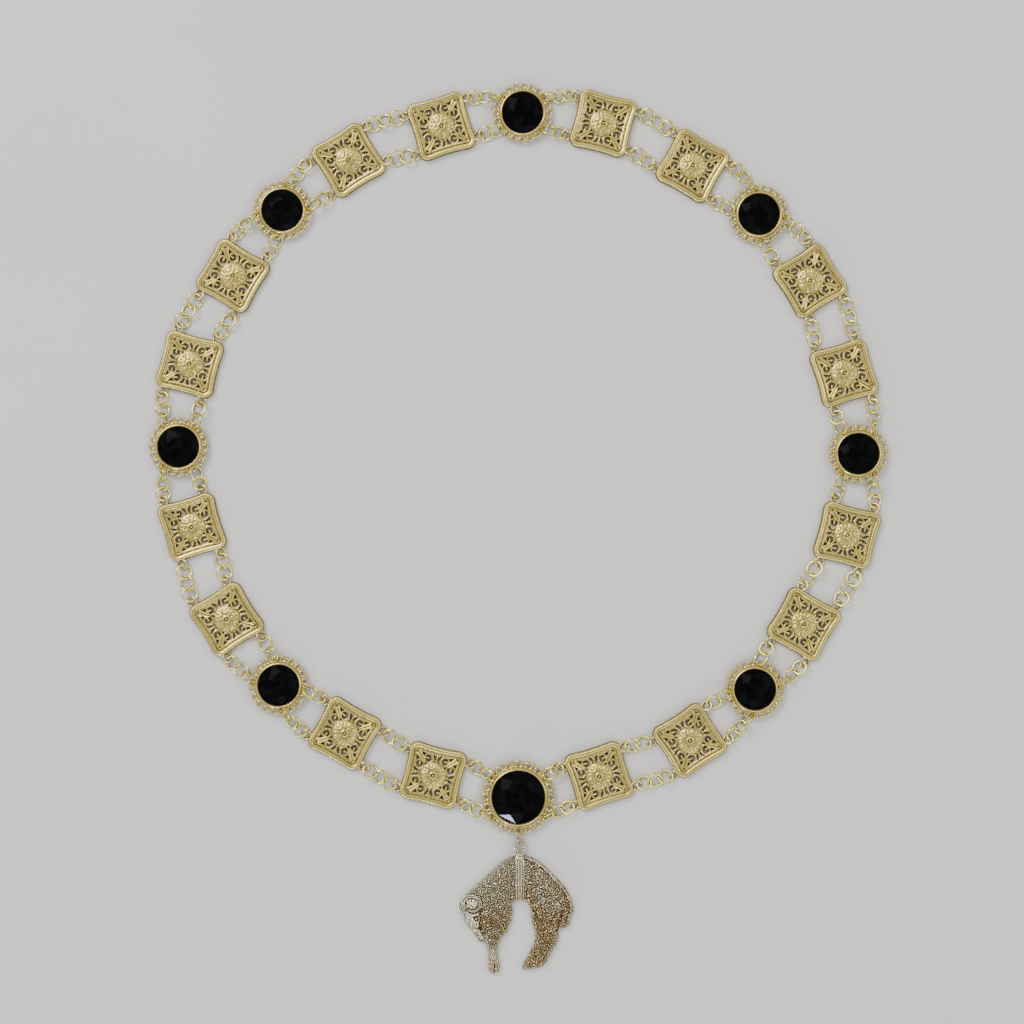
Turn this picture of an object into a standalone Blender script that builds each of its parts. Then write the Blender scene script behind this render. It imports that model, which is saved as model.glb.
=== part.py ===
"""Chain of office, laid flat on its back as a whole ring.

Sixteen pierced plates and eight stones in settings follow each other round the ring, a setting and
then two plates. Two strands of round links join each to the next. A ram's fleece hangs from the
lowest and largest setting by one upright ring.

Metres, +X to the right, +Y to the top of the ring and +Z up from the surface that it lies on. A piece
of the ring has its own +X clockwise along the ring and its own +Y outwards.
"""

import math

import bmesh
import bpy
from mathutils import Matrix, Vector

# Gap that pieces lying against each other keep
CLEARANCE = 0.0003

# Angles between faces: over which an edge is sharp, on metal and on cut stones, and under which
# two faces are one
METAL_EDGE = math.radians(35)
FACET_EDGE = math.radians(5)
FLAT_UNDER = math.radians(0.05)

# Distance under which two points are one, and steps of halving that find the ring's radius
MERGE_DISTANCE = 1e-6
HALVINGS = 60

# Order round the ring
GROUP_COUNT = 8
GROUP_SIZE = 3
LARGE_GROUP = 4
STATION_COUNT = GROUP_COUNT * GROUP_SIZE

# Plate, from the outer edge inwards
PLATE_CORNERS = 4
PLATE_ACROSS = 0.0278
PLATE_CORNER_RADIUS = 0.0034
PLATE_EDGE_HEIGHT = 0.0025
RIM_CREST_INSET = 0.0016
RIM_CREST_HEIGHT = 0.0032
RIM_WIDTH = 0.0044
FIELD_CORNER_RADIUS = 0.0012
FIELD_THICKNESS = 0.0013

# Pierced gaps of the plate and the dome at its middle
GAP_EDGE_MARGIN = 0.0008
CORNER_BAR_WIDTH = 0.0021
SIDE_MOTIF_WIDTH = 0.0048
GAP_INNER_TURN = math.radians(32)
DOME_DIAMETER = 0.0122
DOME_TOP_DIAMETER = 0.0064
DOME_RISE = 0.0021
DOME_SIDES = 8

# Soldered loops of the plate, and the strands' distance from the middle of the ring's band
LOOP_DIAMETER = 0.0052
LOOP_STANDOFF = 0.0016
LOOP_DEPTH = 0.0016
LOOP_STEPS = 4
STRAND_OFFSET = 0.0094

# Links of the strands
LINK_DIAMETER = 0.0078
LINK_WIRE = 0.0010
LINK_SIDES = 10
WIRE_SIDES = 5
LINK_ROLL = math.radians(25)
LINK_BITE = 0.0003
LINK_REACH = 0.0004
OUTER_LINK_COUNT = 3
INNER_LINK_COUNT = 2

# Strands beside a setting, as plain tubes
SETTING_GAP = 0.0110
LARGE_SETTING_GAP = 0.0087
TUBE_DIAMETER = 0.0026
TUBE_HEIGHT_AT_PLATE = 0.0016
TUBE_STANDOFF = 0.0006
TUBE_IN_FLANGE = 0.0016
SETTING_STRAND_OFFSET = 0.0091

# Settings: a foot, a scalloped flange and a bezel round the stone
SCALLOP_COUNT = 20
SCALLOP_DEPTH = 0.0006
TURNED_STEPS = 16
FOOT_HEIGHT = 0.0022
FOOT_INSET = 0.0042
FLANGE_THICKNESS = 0.0010
FLANGE_WIDTH = 0.0029
LARGE_FLANGE_WIDTH = 0.0035
BEZEL_RISE = 0.0021
BEZEL_WIDTH = 0.0012
STONE_DIAMETER = 0.0192
LARGE_STONE_DIAMETER = 0.0249

# Stones
STONE_SIDES = 16
TABLE_SIDES = 8
GIRDLE_HEIGHT = 0.0014
CROWN_HEIGHT = 0.0020
LARGE_CROWN_HEIGHT = 0.0028
TABLE_SHARE = 0.64
BACK_SHARE = 0.90

# Upright ring, bail and fleece of the pendant
PENDANT_RING_DIAMETER = 0.0070
PENDANT_RING_DROP = 0.0009
PENDANT_SHIFT = 0.0005
FLANGE_WEB = 0.0008
SLOT_WIDTH = 0.0018
BAIL_WIDTH = 0.0059
BAIL_LENGTH = 0.0076
BAIL_WIRE = 0.0013
BAIL_HEIGHT = 0.0028
BAIL_DROP = 0.00125
COLLAR_WIDTH = 0.0040
COLLAR_LENGTH = 0.0028
COLLAR_HEIGHT = 0.0040
FLEECE_WIDTH = 0.0530
FLEECE_LENGTH = 0.0547
FLEECE_THICKNESS = 0.0024
GIRDLE_WIDTH = 0.0038
GIRDLE_SHARE = 0.370
GIRDLE_HEIGHT_OVER = 0.0052
HORN_DIAMETER = 0.0092
HORN_WIRE = 0.0026
HORN_PLACE = (-0.425, -0.412)

# Whole ring as it was laid down: its turn, and how far each piece lies from its true place.
# Columns: outwards and clockwise in metres, then turned clockwise in degrees.
RING_TURN = math.radians(0.5)
LAID = (
    (0.0003, 0.0004, 0.0),
    (0.0006, -0.0004, -0.2),
    (-0.0015, 0.0000, -1.8),
    (-0.0003, 0.0000, 0.0),
    (0.0000, 0.0005, -1.4),
    (-0.0013, 0.0008, -3.1),
    (0.0008, 0.0004, 0.0),
    (0.0007, -0.0001, 0.1),
    (-0.0019, 0.0003, -1.2),
    (-0.0011, 0.0002, 0.0),
    (-0.0006, 0.0003, -2.1),
    (-0.0013, 0.0003, -3.6),
    (0.0039, -0.0012, 0.0),
    (-0.0010, -0.0005, -0.8),
    (-0.0028, -0.0001, -2.6),
    (-0.0011, -0.0002, 0.0),
    (-0.0002, 0.0006, -2.1),
    (-0.0009, 0.0009, -3.2),
    (0.0012, 0.0000, 0.0),
    (0.0014, 0.0000, -0.2),
    (-0.0009, 0.0000, -1.5),
    (-0.0002, -0.0003, 0.0),
    (-0.0001, 0.0000, -1.2),
    (-0.0015, 0.0005, -3.2),
)

# Fleece's outline from the left of its band, down the head and fore leg, and back up by the tail.
# Columns: across and down, as shares of the fleece's width and length.
FLEECE_OUTLINE = (
    (-0.040, 0.000),
    (-0.126, -0.029),
    (-0.308, -0.186),
    (-0.489, -0.353),
    (-0.528, -0.430),
    (-0.483, -0.556),
    (-0.383, -0.686),
    (-0.343, -0.735),
    (-0.308, -0.725),
    (-0.275, -0.845),
    (-0.266, -0.989),
    (-0.192, -0.996),
    (-0.174, -0.949),
    (-0.194, -0.845),
    (-0.175, -0.722),
    (-0.098, -0.625),
    (-0.060, -0.484),
    (-0.075, -0.417),
    (-0.028, -0.375),
    (0.049, -0.375),
    (0.091, -0.424),
    (0.109, -0.539),
    (0.142, -0.704),
    (0.100, -0.817),
    (0.026, -0.949),
    (0.064, -0.969),
    (0.209, -0.936),
    (0.281, -0.826),
    (0.343, -0.713),
    (0.340, -0.633),
    (0.430, -0.592),
    (0.445, -0.523),
    (0.472, -0.441),
    (0.408, -0.283),
    (0.209, -0.073),
    (0.074, 0.000),
)

# Rounded masses of the animal over the flat of the fleece.
# Columns: place across and down, half length and half width, as shares of the fleece's width and
# length, the turn of the long way in degrees, and the height of the top in metres.
FLEECE_MASSES = (
    (-0.225, -0.300, 0.245, 0.130, 42, 0.0054),
    (0.230, -0.290, 0.245, 0.140, -50, 0.0054),
    (-0.225, -0.570, 0.190, 0.105, 80, 0.0046),
    (0.225, -0.640, 0.240, 0.085, 84, 0.0046),
    (-0.400, -0.530, 0.150, 0.060, -55, 0.0044),
)
MASS_SIDES = 6
MASS_RINGS = 4

# Sizes worked out from those above
LINK_RADIUS = (LINK_DIAMETER - LINK_WIRE) / 2
LOOP_RADIUS = (LOOP_DIAMETER - LINK_WIRE) / 2
LINK_PITCH = 2 * LINK_RADIUS - LINK_WIRE + LINK_BITE
LINK_HEIGHT = LINK_RADIUS * math.sin(LINK_ROLL) + LINK_WIRE / 2
MEAN_LINK_STEPS = (OUTER_LINK_COUNT + INNER_LINK_COUNT) / 2 - 1
PLATE_GAP = 2 * (LOOP_STANDOFF + LINK_RADIUS - LINK_REACH) + MEAN_LINK_STEPS * LINK_PITCH
FLANGE_TOP = FOOT_HEIGHT + FLANGE_THICKNESS


class Metal:
    """Colours of the materials, as linear red, green and blue."""

    PLATE = (0.50, 0.41, 0.20)
    SETTING = (0.62, 0.50, 0.22)
    LINK = (0.76, 0.66, 0.22)
    FLEECE = (0.36, 0.29, 0.17)


def clear_scene():
    """Removes what the scene holds."""
    for thing in list(bpy.data.objects):
        bpy.data.objects.remove(thing, do_unlink=True)


def finish_material(name, colour, metallic, roughness):
    """A Principled material of one colour."""
    material = bpy.data.materials.new(name)
    material.use_nodes = True
    shader = material.node_tree.nodes["Principled BSDF"]
    shader.inputs["Base Color"].default_value = (*colour, 1.0)
    shader.inputs["Metallic"].default_value = metallic
    shader.inputs["Roughness"].default_value = roughness
    return material


def evaluated_mesh(thing):
    """The mesh of an object with its modifiers, in a mesh of its own, with its doubles merged."""
    graph = bpy.context.evaluated_depsgraph_get()
    mesh = bpy.data.meshes.new_from_object(thing.evaluated_get(graph))
    shape = bmesh.new()
    shape.from_mesh(mesh)
    bpy.data.meshes.remove(mesh)
    bmesh.ops.remove_doubles(shape, verts=shape.verts, dist=MERGE_DISTANCE)
    return shape


def temporary_object(shape):
    """A linked object with this shape, whose bmesh is freed."""
    mesh = bpy.data.meshes.new("shape")
    shape.to_mesh(mesh)
    shape.free()
    thing = bpy.data.objects.new("shape", mesh)
    bpy.context.scene.collection.objects.link(thing)
    return thing


def fused(solids, cuts=()):
    """One shape: the first solid joined with the others, and then cut."""
    base = temporary_object(solids[0])
    steps = [(solid, "UNION") for solid in solids[1:]] + [(cut, "DIFFERENCE") for cut in cuts]
    tools = []
    for shape, operation in steps:
        tool = temporary_object(shape)
        tool.hide_render = True
        tool.display_type = "WIRE"
        modifier = base.modifiers.new("join", "BOOLEAN")
        modifier.operation = operation
        modifier.solver = "EXACT"
        modifier.object = tool
        tools.append(tool)
    shape = evaluated_mesh(base)
    for thing in (base, *tools):
        bpy.data.objects.remove(thing, do_unlink=True)
    bmesh.ops.dissolve_limit(
        shape, angle_limit=FLAT_UNDER, verts=shape.verts, edges=shape.edges
    )
    return shape


def add_loft(shape, rings):
    """Adds a closed skin through rings with the same number of points, the lowest first."""
    rows = [[shape.verts.new(point) for point in ring] for ring in rings]
    count = len(rows[0])
    shape.faces.new(rows[0][::-1])
    shape.faces.new(rows[-1])
    for lower, upper in zip(rows, rows[1:]):
        for i in range(count):
            j = (i + 1) % count
            shape.faces.new((lower[i], lower[j], upper[j], upper[i]))


def loft(rings):
    """A closed shape through rings with the same number of points, the lowest first."""
    shape = bmesh.new()
    add_loft(shape, rings)
    return shape


def turned(profile, steps):
    """A closed turned shape whose profile runs from the axis down its outer side to the axis."""
    shape = bmesh.new()
    points = [shape.verts.new((radius, 0.0, height)) for radius, height in profile]
    for upper, lower in zip(points, points[1:]):
        shape.edges.new((upper, lower))
    thing = temporary_object(shape)
    screw = thing.modifiers.new("turn", "SCREW")
    screw.axis = "Z"
    screw.steps = steps
    screw.render_steps = steps
    screw.use_merge_vertices = True
    screw.merge_threshold = MERGE_DISTANCE
    result = evaluated_mesh(thing)
    bpy.data.objects.remove(thing, do_unlink=True)
    bmesh.ops.recalc_face_normals(result, faces=result.faces)
    return result


def wire_ring(radius, wire, place, stretch=1.0):
    """A round ring of wire with a straight side at +X and -X, lengthened along Y by the stretch."""
    bpy.ops.mesh.primitive_torus_add(
        major_segments=LINK_SIDES,
        minor_segments=WIRE_SIDES,
        major_radius=radius,
        minor_radius=wire / 2,
    )
    thing = bpy.context.object
    shape = bmesh.new()
    shape.from_mesh(thing.data)
    half_side = Matrix.Rotation(math.pi / LINK_SIDES, 4, "Z")
    bmesh.ops.transform(shape, matrix=half_side, verts=shape.verts)
    bpy.data.objects.remove(thing, do_unlink=True)
    for vertex in shape.verts:
        vertex.co.y += math.copysign((stretch - 1.0) * radius, vertex.co.y)
    bmesh.ops.transform(shape, matrix=place, verts=shape.verts)
    return shape


def circle(radius, sides, height, first=0.0):
    """Points of a level circle, counter-clockwise."""
    step = 2 * math.pi / sides
    return [
        Vector((radius * math.cos(first + i * step), radius * math.sin(first + i * step), height))
        for i in range(sides)
    ]


def box(low, high):
    """A box between two corners."""
    shape = bmesh.new()
    middle = (Vector(low) + Vector(high)) / 2
    size = Vector(high) - Vector(low)
    bmesh.ops.create_cube(
        shape, size=1.0, matrix=Matrix.Translation(middle) @ Matrix.Diagonal((*size, 1.0))
    )
    return shape


# Where each piece of the ring lies


def piece_width(station):
    """Width of the piece at a station along the ring."""
    if station % GROUP_SIZE:
        return PLATE_ACROSS
    return setting_diameter(station // GROUP_SIZE)


def gap_after(station):
    """Gap between the piece at a station and the next one."""
    near = station % STATION_COUNT, (station + 1) % STATION_COUNT
    if all(i % GROUP_SIZE for i in near):
        return PLATE_GAP
    return LARGE_SETTING_GAP if LARGE_GROUP * GROUP_SIZE in near else SETTING_GAP


def station_chords():
    """Distance from each piece's middle to the next one's."""
    widths = [piece_width(i) for i in range(STATION_COUNT)]
    return [
        (widths[i] + widths[(i + 1) % STATION_COUNT]) / 2 + gap_after(i)
        for i in range(STATION_COUNT)
    ]


def ring_radius(chords):
    """Radius of the circle that the chords close on, found by halving."""
    low, high = max(chords) / 2, sum(chords)
    for _ in range(HALVINGS):
        middle = (low + high) / 2
        turned_by = sum(2 * math.asin(chord / (2 * middle)) for chord in chords)
        low, high = (middle, high) if turned_by > 2 * math.pi else (low, middle)
    return low


def station_frames():
    """Place of each piece: its own +X clockwise along the ring and its own +Y outwards."""
    chords = station_chords()
    radius = ring_radius(chords)
    frames = []
    bearing = RING_TURN
    for chord, (outwards, along, turn) in zip(chords, LAID):
        heading = Matrix.Rotation(-bearing, 4, "Z")
        place = heading @ Vector((along, radius + outwards, 0.0))
        frames.append(
            Matrix.Translation(place) @ heading @ Matrix.Rotation(-math.radians(turn), 4, "Z")
        )
        bearing += 2 * math.asin(chord / (2 * radius))
    return frames


def loop_place(side, strand):
    """Middle of a plate's loop, on its side -1 or +1 and on the inner or outer strand, -1 or +1."""
    return Vector((side * (PLATE_ACROSS / 2 + LOOP_STANDOFF), strand * STRAND_OFFSET, LINK_HEIGHT))


# Plates


def corner_turns():
    """Turns that take the plate's first corner to each of its corners."""
    return [
        Matrix.Rotation(corner * 2 * math.pi / PLATE_CORNERS, 4, "Z")
        for corner in range(PLATE_CORNERS)
    ]


def plate_section(inset, height):
    """Rounded square with three points to a corner, at this inset from the plate's edge."""
    radius = max(PLATE_CORNER_RADIUS - inset, FIELD_CORNER_RADIUS)
    middle = PLATE_ACROSS / 2 - inset - radius
    points = []
    for turn in corner_turns():
        for eighth in range(3):
            angle = eighth * math.pi / 4
            corner = Vector((middle + radius * math.cos(angle), middle + radius * math.sin(angle)))
            points.append(turn @ Vector((*corner, height)))
    return points


def pierced_gaps():
    """Cutter for the eight gaps: one on each side of each corner's bar."""
    edge = PLATE_ACROSS / 2 - RIM_WIDTH - GAP_EDGE_MARGIN
    inner = DOME_DIAMETER / 2 + GAP_EDGE_MARGIN
    gap = (
        (edge, SIDE_MOTIF_WIDTH / 2),
        (edge, edge - CORNER_BAR_WIDTH / math.sqrt(2)),
        (inner * math.cos(GAP_INNER_TURN), inner * math.sin(GAP_INNER_TURN)),
    )
    shape = bmesh.new()
    for turn in corner_turns():
        for corners in (gap, tuple((y, x) for x, y in reversed(gap))):
            add_loft(
                shape,
                [
                    [turn @ Vector((x, y, height)) for x, y in corners]
                    for height in (-FIELD_THICKNESS, 2 * FIELD_THICKNESS)
                ],
            )
    return shape


def loop_run(place, side):
    """Points of a loop's wire: a leg out of the plate's edge, half a circle and a leg back."""
    inside = -side * (LOOP_STANDOFF + LOOP_DEPTH)
    arc = [
        (side * LOOP_RADIUS * math.sin(angle), LOOP_RADIUS * math.cos(angle))
        for angle in (i * math.pi / LOOP_STEPS for i in range(LOOP_STEPS + 1))
    ]
    path = [(inside, LOOP_RADIUS), *arc, (inside, -LOOP_RADIUS)]
    return [place @ Vector((x, y, 0.0)) for x, y in path]


def plate_mesh(name, side, inner_roll):
    """Plate with two loops on its side -1 or +1, for the strands to its neighbouring plate."""
    body = loft(
        [
            plate_section(0.0, 0.0),
            plate_section(0.0, PLATE_EDGE_HEIGHT),
            plate_section(RIM_CREST_INSET, RIM_CREST_HEIGHT),
            plate_section(RIM_WIDTH, FIELD_THICKNESS),
        ]
    )
    dome = bmesh.new()
    sunk = FIELD_THICKNESS / 2
    bmesh.ops.create_cone(
        dome,
        cap_ends=True,
        segments=DOME_SIDES,
        radius1=DOME_DIAMETER / 2,
        radius2=DOME_TOP_DIAMETER / 2,
        depth=DOME_RISE + sunk,
        matrix=Matrix.Translation((0.0, 0.0, FIELD_THICKNESS + (DOME_RISE - sunk) / 2)),
    )
    runs = [
        loop_run(Matrix.Translation(loop_place(side, strand)) @ Matrix.Rotation(roll, 4, "X"), side)
        for strand, roll in ((1, -LINK_ROLL), (-1, inner_roll))
    ]
    loops = wires_along(runs, LINK_WIRE, 0)
    shape = fused([body, dome, loops], [pierced_gaps()])
    mesh = bpy.data.meshes.new(name)
    shape.to_mesh(mesh)
    shape.free()
    return mesh


# Strands


def chain_shape(start, end, count):
    """Links in a row between the middles of two loops, rolled one way and the other in turn."""
    run = end - start
    lead = (run.length - (count - 1) * LINK_PITCH) / 2
    heading = Matrix.Rotation(math.atan2(run.y, run.x), 4, "Z")
    links = []
    for i in range(count):
        middle = start + run.normalized() * (lead + i * LINK_PITCH)
        roll = Matrix.Rotation(LINK_ROLL * (-1) ** i, 4, "X")
        links.append(wire_ring(LINK_RADIUS, LINK_WIRE, Matrix.Translation(middle) @ heading @ roll))
    return fused(links)


def wires_along(runs, diameter, resolution):
    """Closed wires along runs of points, with 4 sides and 2 more for each step of resolution."""
    curve = bpy.data.curves.new("wires", "CURVE")
    curve.dimensions = "3D"
    curve.bevel_depth = diameter / 2
    curve.bevel_resolution = resolution
    curve.use_fill_caps = True
    for run in runs:
        spline = curve.splines.new("POLY")
        spline.points.add(len(run) - 1)
        for point, place in zip(spline.points, run):
            point.co = (*place, 1.0)
    thing = bpy.data.objects.new("wires", curve)
    bpy.context.scene.collection.objects.link(thing)
    shape = evaluated_mesh(thing)
    bpy.data.objects.remove(thing, do_unlink=True)
    return shape


# Settings and stones


def stone_diameter(group):
    """Diameter of the stone in this group's setting."""
    return LARGE_STONE_DIAMETER if group == LARGE_GROUP else STONE_DIAMETER


def setting_diameter(group):
    """Diameter of this group's setting over its scallops."""
    flange = LARGE_FLANGE_WIDTH if group == LARGE_GROUP else FLANGE_WIDTH
    return stone_diameter(group) + 2 * (CLEARANCE + BEZEL_WIDTH + flange)


def flange_outline(radius, height):
    """Scalloped circle: a point at the top of each lobe and one between it and the next."""
    points = circle(radius, 2 * SCALLOP_COUNT, height)
    for point in points[1::2]:
        point.xy *= (radius - SCALLOP_DEPTH) / radius
    return points


def setting_shape(group, runs, cuts):
    """Turned cup and bezel with a scalloped flange, and the strands joined to it."""
    seat = stone_diameter(group) / 2 + CLEARANCE
    flange = setting_diameter(group) / 2
    foot = flange - FOOT_INSET
    cup = turned(
        (
            (0.0, FLANGE_TOP),
            (seat, FLANGE_TOP),
            (seat, FLANGE_TOP + BEZEL_RISE),
            (seat + BEZEL_WIDTH, FLANGE_TOP),
            (foot, FOOT_HEIGHT),
            (foot, 0.0),
            (0.0, 0.0),
        ),
        TURNED_STEPS,
    )
    plate = loft([flange_outline(flange, FOOT_HEIGHT), flange_outline(flange, FLANGE_TOP)])
    return fused([plate, cup, wires_along(runs, TUBE_DIAMETER, 2)], cuts)


def stone_shape(group):
    """Stone with a flat back and a table, and facets from each down and up to its girdle."""
    radius = stone_diameter(group) / 2
    bottom = FLANGE_TOP + CLEARANCE
    girdle = bottom + GIRDLE_HEIGHT
    crown = LARGE_CROWN_HEIGHT if group == LARGE_GROUP else CROWN_HEIGHT
    points = (
        circle(BACK_SHARE * radius, TABLE_SIDES, bottom)
        + circle(radius, STONE_SIDES, girdle)
        + circle(TABLE_SHARE * radius, TABLE_SIDES, girdle + crown)
    )
    shape = bmesh.new()
    for point in points:
        shape.verts.new(point)
    bmesh.ops.convex_hull(shape, input=shape.verts)
    bmesh.ops.dissolve_limit(
        shape, angle_limit=FLAT_UNDER, verts=shape.verts, edges=shape.edges
    )
    return shape


def strand_runs(frames, station):
    """Runs of the four strands from a setting to the plates on its two sides, in its own frame."""
    flange = piece_width(station) / 2
    attach = flange - TUBE_IN_FLANGE
    height = FOOT_HEIGHT + FLANGE_THICKNESS / 2
    home = frames[station].inverted()
    runs = []
    for side in (-1, 1):
        plate = frames[(station + side) % STATION_COUNT]
        for strand in (-1, 1):
            across = strand * SETTING_STRAND_OFFSET
            along = side * math.sqrt(attach**2 - across**2)
            reach = -side * (PLATE_ACROSS / 2 + TUBE_STANDOFF)
            far = Vector((reach, strand * STRAND_OFFSET, TUBE_HEIGHT_AT_PLATE))
            runs.append((Vector((along, across, height)), home @ plate @ far))
    return runs


# Pendant


def pendant_heights():
    """Places along the pendant's own +Y from the flange's edge: the ring's middle and the fleece."""
    ring = -PENDANT_RING_DROP
    bail_top = ring - BAIL_DROP + BAIL_WIRE / 2
    fleece = bail_top - BAIL_LENGTH - COLLAR_LENGTH / 2
    return ring, bail_top, fleece


def flange_slot():
    """Cutter through the flange, inside its edge, for the pendant's ring."""
    outer = PENDANT_RING_DIAMETER / 2
    ring, _, _ = pendant_heights()
    low = Vector((-SLOT_WIDTH / 2, FLANGE_WEB, 0.0))
    high = Vector((SLOT_WIDTH / 2, ring + outer + CLEARANCE, FLANGE_TOP + FLANGE_THICKNESS))
    return box(low, high)


def fleece_slab():
    """Flat of the fleece: a smooth closed curve through its outline, given its thickness."""
    curve = bpy.data.curves.new("outline", "CURVE")
    curve.dimensions = "2D"
    curve.fill_mode = "BOTH"
    curve.resolution_u = 2
    curve.extrude = FLEECE_THICKNESS / 2
    spline = curve.splines.new("BEZIER")
    spline.bezier_points.add(len(FLEECE_OUTLINE) - 1)
    spline.use_cyclic_u = True
    for point, (across, down) in zip(spline.bezier_points, FLEECE_OUTLINE):
        point.co = (across * FLEECE_WIDTH, down * FLEECE_LENGTH, 0.0)
        point.handle_left_type = "AUTO"
        point.handle_right_type = "AUTO"
    thing = bpy.data.objects.new("outline", curve)
    bpy.context.scene.collection.objects.link(thing)
    shape = evaluated_mesh(thing)
    bpy.data.objects.remove(thing, do_unlink=True)
    lift = Matrix.Translation((0.0, 0.0, FLEECE_THICKNESS / 2))
    bmesh.ops.transform(shape, matrix=lift, verts=shape.verts)
    bmesh.ops.recalc_face_normals(shape, faces=shape.faces)
    return shape


def fleece_mass(across, down, half_length, half_width, turn, top):
    """One rounded mass, half sunk in the flat."""
    sunk = FLEECE_THICKNESS / 2
    shape = bmesh.new()
    place = (
        Matrix.Translation((across * FLEECE_WIDTH, down * FLEECE_LENGTH, sunk))
        @ Matrix.Rotation(math.radians(turn), 4, "Z")
        @ Matrix.Diagonal((half_length * FLEECE_LENGTH, half_width * FLEECE_WIDTH, top - sunk, 1))
    )
    bmesh.ops.create_uvsphere(
        shape, u_segments=MASS_SIDES, v_segments=MASS_RINGS, radius=1.0, matrix=place
    )
    low = [vertex for vertex in shape.verts if vertex.co.z < sunk - CLEARANCE]
    for vertex in low:
        vertex.co.z = sunk - CLEARANCE
    return shape


def fleece_shape():
    """Fleece with its masses, horn and girdle, and the collar and bail soldered to its top."""
    masses = [fleece_mass(*row) for row in FLEECE_MASSES]
    horn_middle = (HORN_PLACE[0] * FLEECE_WIDTH, HORN_PLACE[1] * FLEECE_LENGTH, FLEECE_THICKNESS)
    horn = wire_ring((HORN_DIAMETER - HORN_WIRE) / 2, HORN_WIRE, Matrix.Translation(horn_middle))
    girdle_low = -GIRDLE_SHARE * FLEECE_LENGTH
    girdle = box(
        (-GIRDLE_WIDTH / 2, girdle_low, FLEECE_THICKNESS / 2),
        (GIRDLE_WIDTH / 2, -COLLAR_LENGTH / 2, GIRDLE_HEIGHT_OVER),
    )
    collar = box(
        (-COLLAR_WIDTH / 2, -COLLAR_LENGTH, 0.0),
        (COLLAR_WIDTH / 2, COLLAR_LENGTH / 2 + BAIL_WIRE / 2, COLLAR_HEIGHT),
    )
    bail_radius = (BAIL_WIDTH - BAIL_WIRE) / 2
    bail_middle = COLLAR_LENGTH / 2 + BAIL_LENGTH / 2
    bail = wire_ring(
        bail_radius,
        BAIL_WIRE,
        Matrix.Translation((0.0, bail_middle, BAIL_HEIGHT)),
        stretch=(BAIL_LENGTH - BAIL_WIRE) / (BAIL_WIDTH - BAIL_WIRE),
    )
    return fused([fleece_slab(), *masses, horn, girdle, collar, bail])


# Assembly


class Assembly:
    """The collection of the finished pieces, all under one empty."""

    def __init__(self, name):
        self.collection = bpy.data.collections.new(name)
        bpy.context.scene.collection.children.link(self.collection)
        self.base = bpy.data.objects.new(name + "_base", None)
        self.collection.objects.link(self.base)
        self.pieces = []

    def add(self, name, mesh, place, material, sharp_edge=METAL_EDGE):
        """Adds one piece with its mesh or bmesh, its place and its material."""
        if isinstance(mesh, bmesh.types.BMesh):
            shape = mesh
            mesh = bpy.data.meshes.new(name)
            shape.to_mesh(mesh)
            shape.free()
        if not mesh.materials:
            mesh.materials.append(material)
            mesh.set_sharp_from_angle(angle=sharp_edge)
        piece = bpy.data.objects.new(name, mesh)
        piece.parent = self.base
        piece.matrix_local = place
        self.collection.objects.link(piece)
        self.pieces.append(piece)

    def centre(self):
        """Moves the empty so that the pieces stand over the origin by the middle of their box."""
        bpy.context.view_layer.update()
        corners = [
            piece.matrix_world @ vertex.co for piece in self.pieces for vertex in piece.data.vertices
        ]
        low = Vector(min(corner[i] for corner in corners) for i in range(3))
        high = Vector(max(corner[i] for corner in corners) for i in range(3))
        middle = (low + high) / 2
        self.base.location = (-middle.x, -middle.y, -low.z)


def add_plates(assembly, frames, material):
    """The sixteen plates: the first of each pair has its loops ahead, the second behind."""
    ahead = plate_mesh("plate_ahead", 1, -LINK_ROLL)
    behind = plate_mesh("plate_behind", -1, LINK_ROLL)
    number = 0
    for station, frame in enumerate(frames):
        if station % GROUP_SIZE == 0:
            continue
        number += 1
        mesh = ahead if station % GROUP_SIZE == 1 else behind
        assembly.add(f"plate_{number:02d}", mesh, frame, material)


def add_chains(assembly, frames, material):
    """The two strands of real links between the plates of each pair."""
    for group in range(GROUP_COUNT):
        first = frames[group * GROUP_SIZE + 1]
        second = frames[group * GROUP_SIZE + 2]
        for name, strand, count in (
            ("outer_chain", 1, OUTER_LINK_COUNT),
            ("inner_chain", -1, INNER_LINK_COUNT),
        ):
            start = first @ loop_place(1, strand)
            end = second @ loop_place(-1, strand)
            shape = chain_shape(start, end, count)
            assembly.add(f"{name}_{group + 1}", shape, Matrix.Identity(4), material)


def add_settings(assembly, frames, slot_place, metal, glass):
    """The settings with their stones and strands, and the slot in the largest one."""
    for group in range(GROUP_COUNT):
        station = group * GROUP_SIZE
        frame = frames[station]
        cuts = []
        if group == LARGE_GROUP:
            slot = flange_slot()
            bmesh.ops.transform(slot, matrix=frame.inverted() @ slot_place, verts=slot.verts)
            cuts.append(slot)
        shape = setting_shape(group, strand_runs(frames, station), cuts)
        assembly.add(f"setting_{group + 1}", shape, frame, metal)
        assembly.add(f"stone_{group + 1}", stone_shape(group), frame, glass, FACET_EDGE)


def add_pendant(assembly, place, link_metal, fleece_metal):
    """The upright ring and the fleece under it."""
    ring, _, fleece = pendant_heights()
    radius = (PENDANT_RING_DIAMETER - LINK_WIRE) / 2
    upright = (
        place
        @ Matrix.Translation((0.0, ring, PENDANT_RING_DIAMETER / 2))
        @ Matrix.Rotation(math.pi / 2, 4, "Y")
    )
    shape = wire_ring(radius, LINK_WIRE, Matrix.Identity(4))
    assembly.add("pendant_ring", shape, upright, link_metal)
    at_fleece = place @ Matrix.Translation((0.0, fleece, 0.0))
    assembly.add("fleece", fleece_shape(), at_fleece, fleece_metal)


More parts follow.
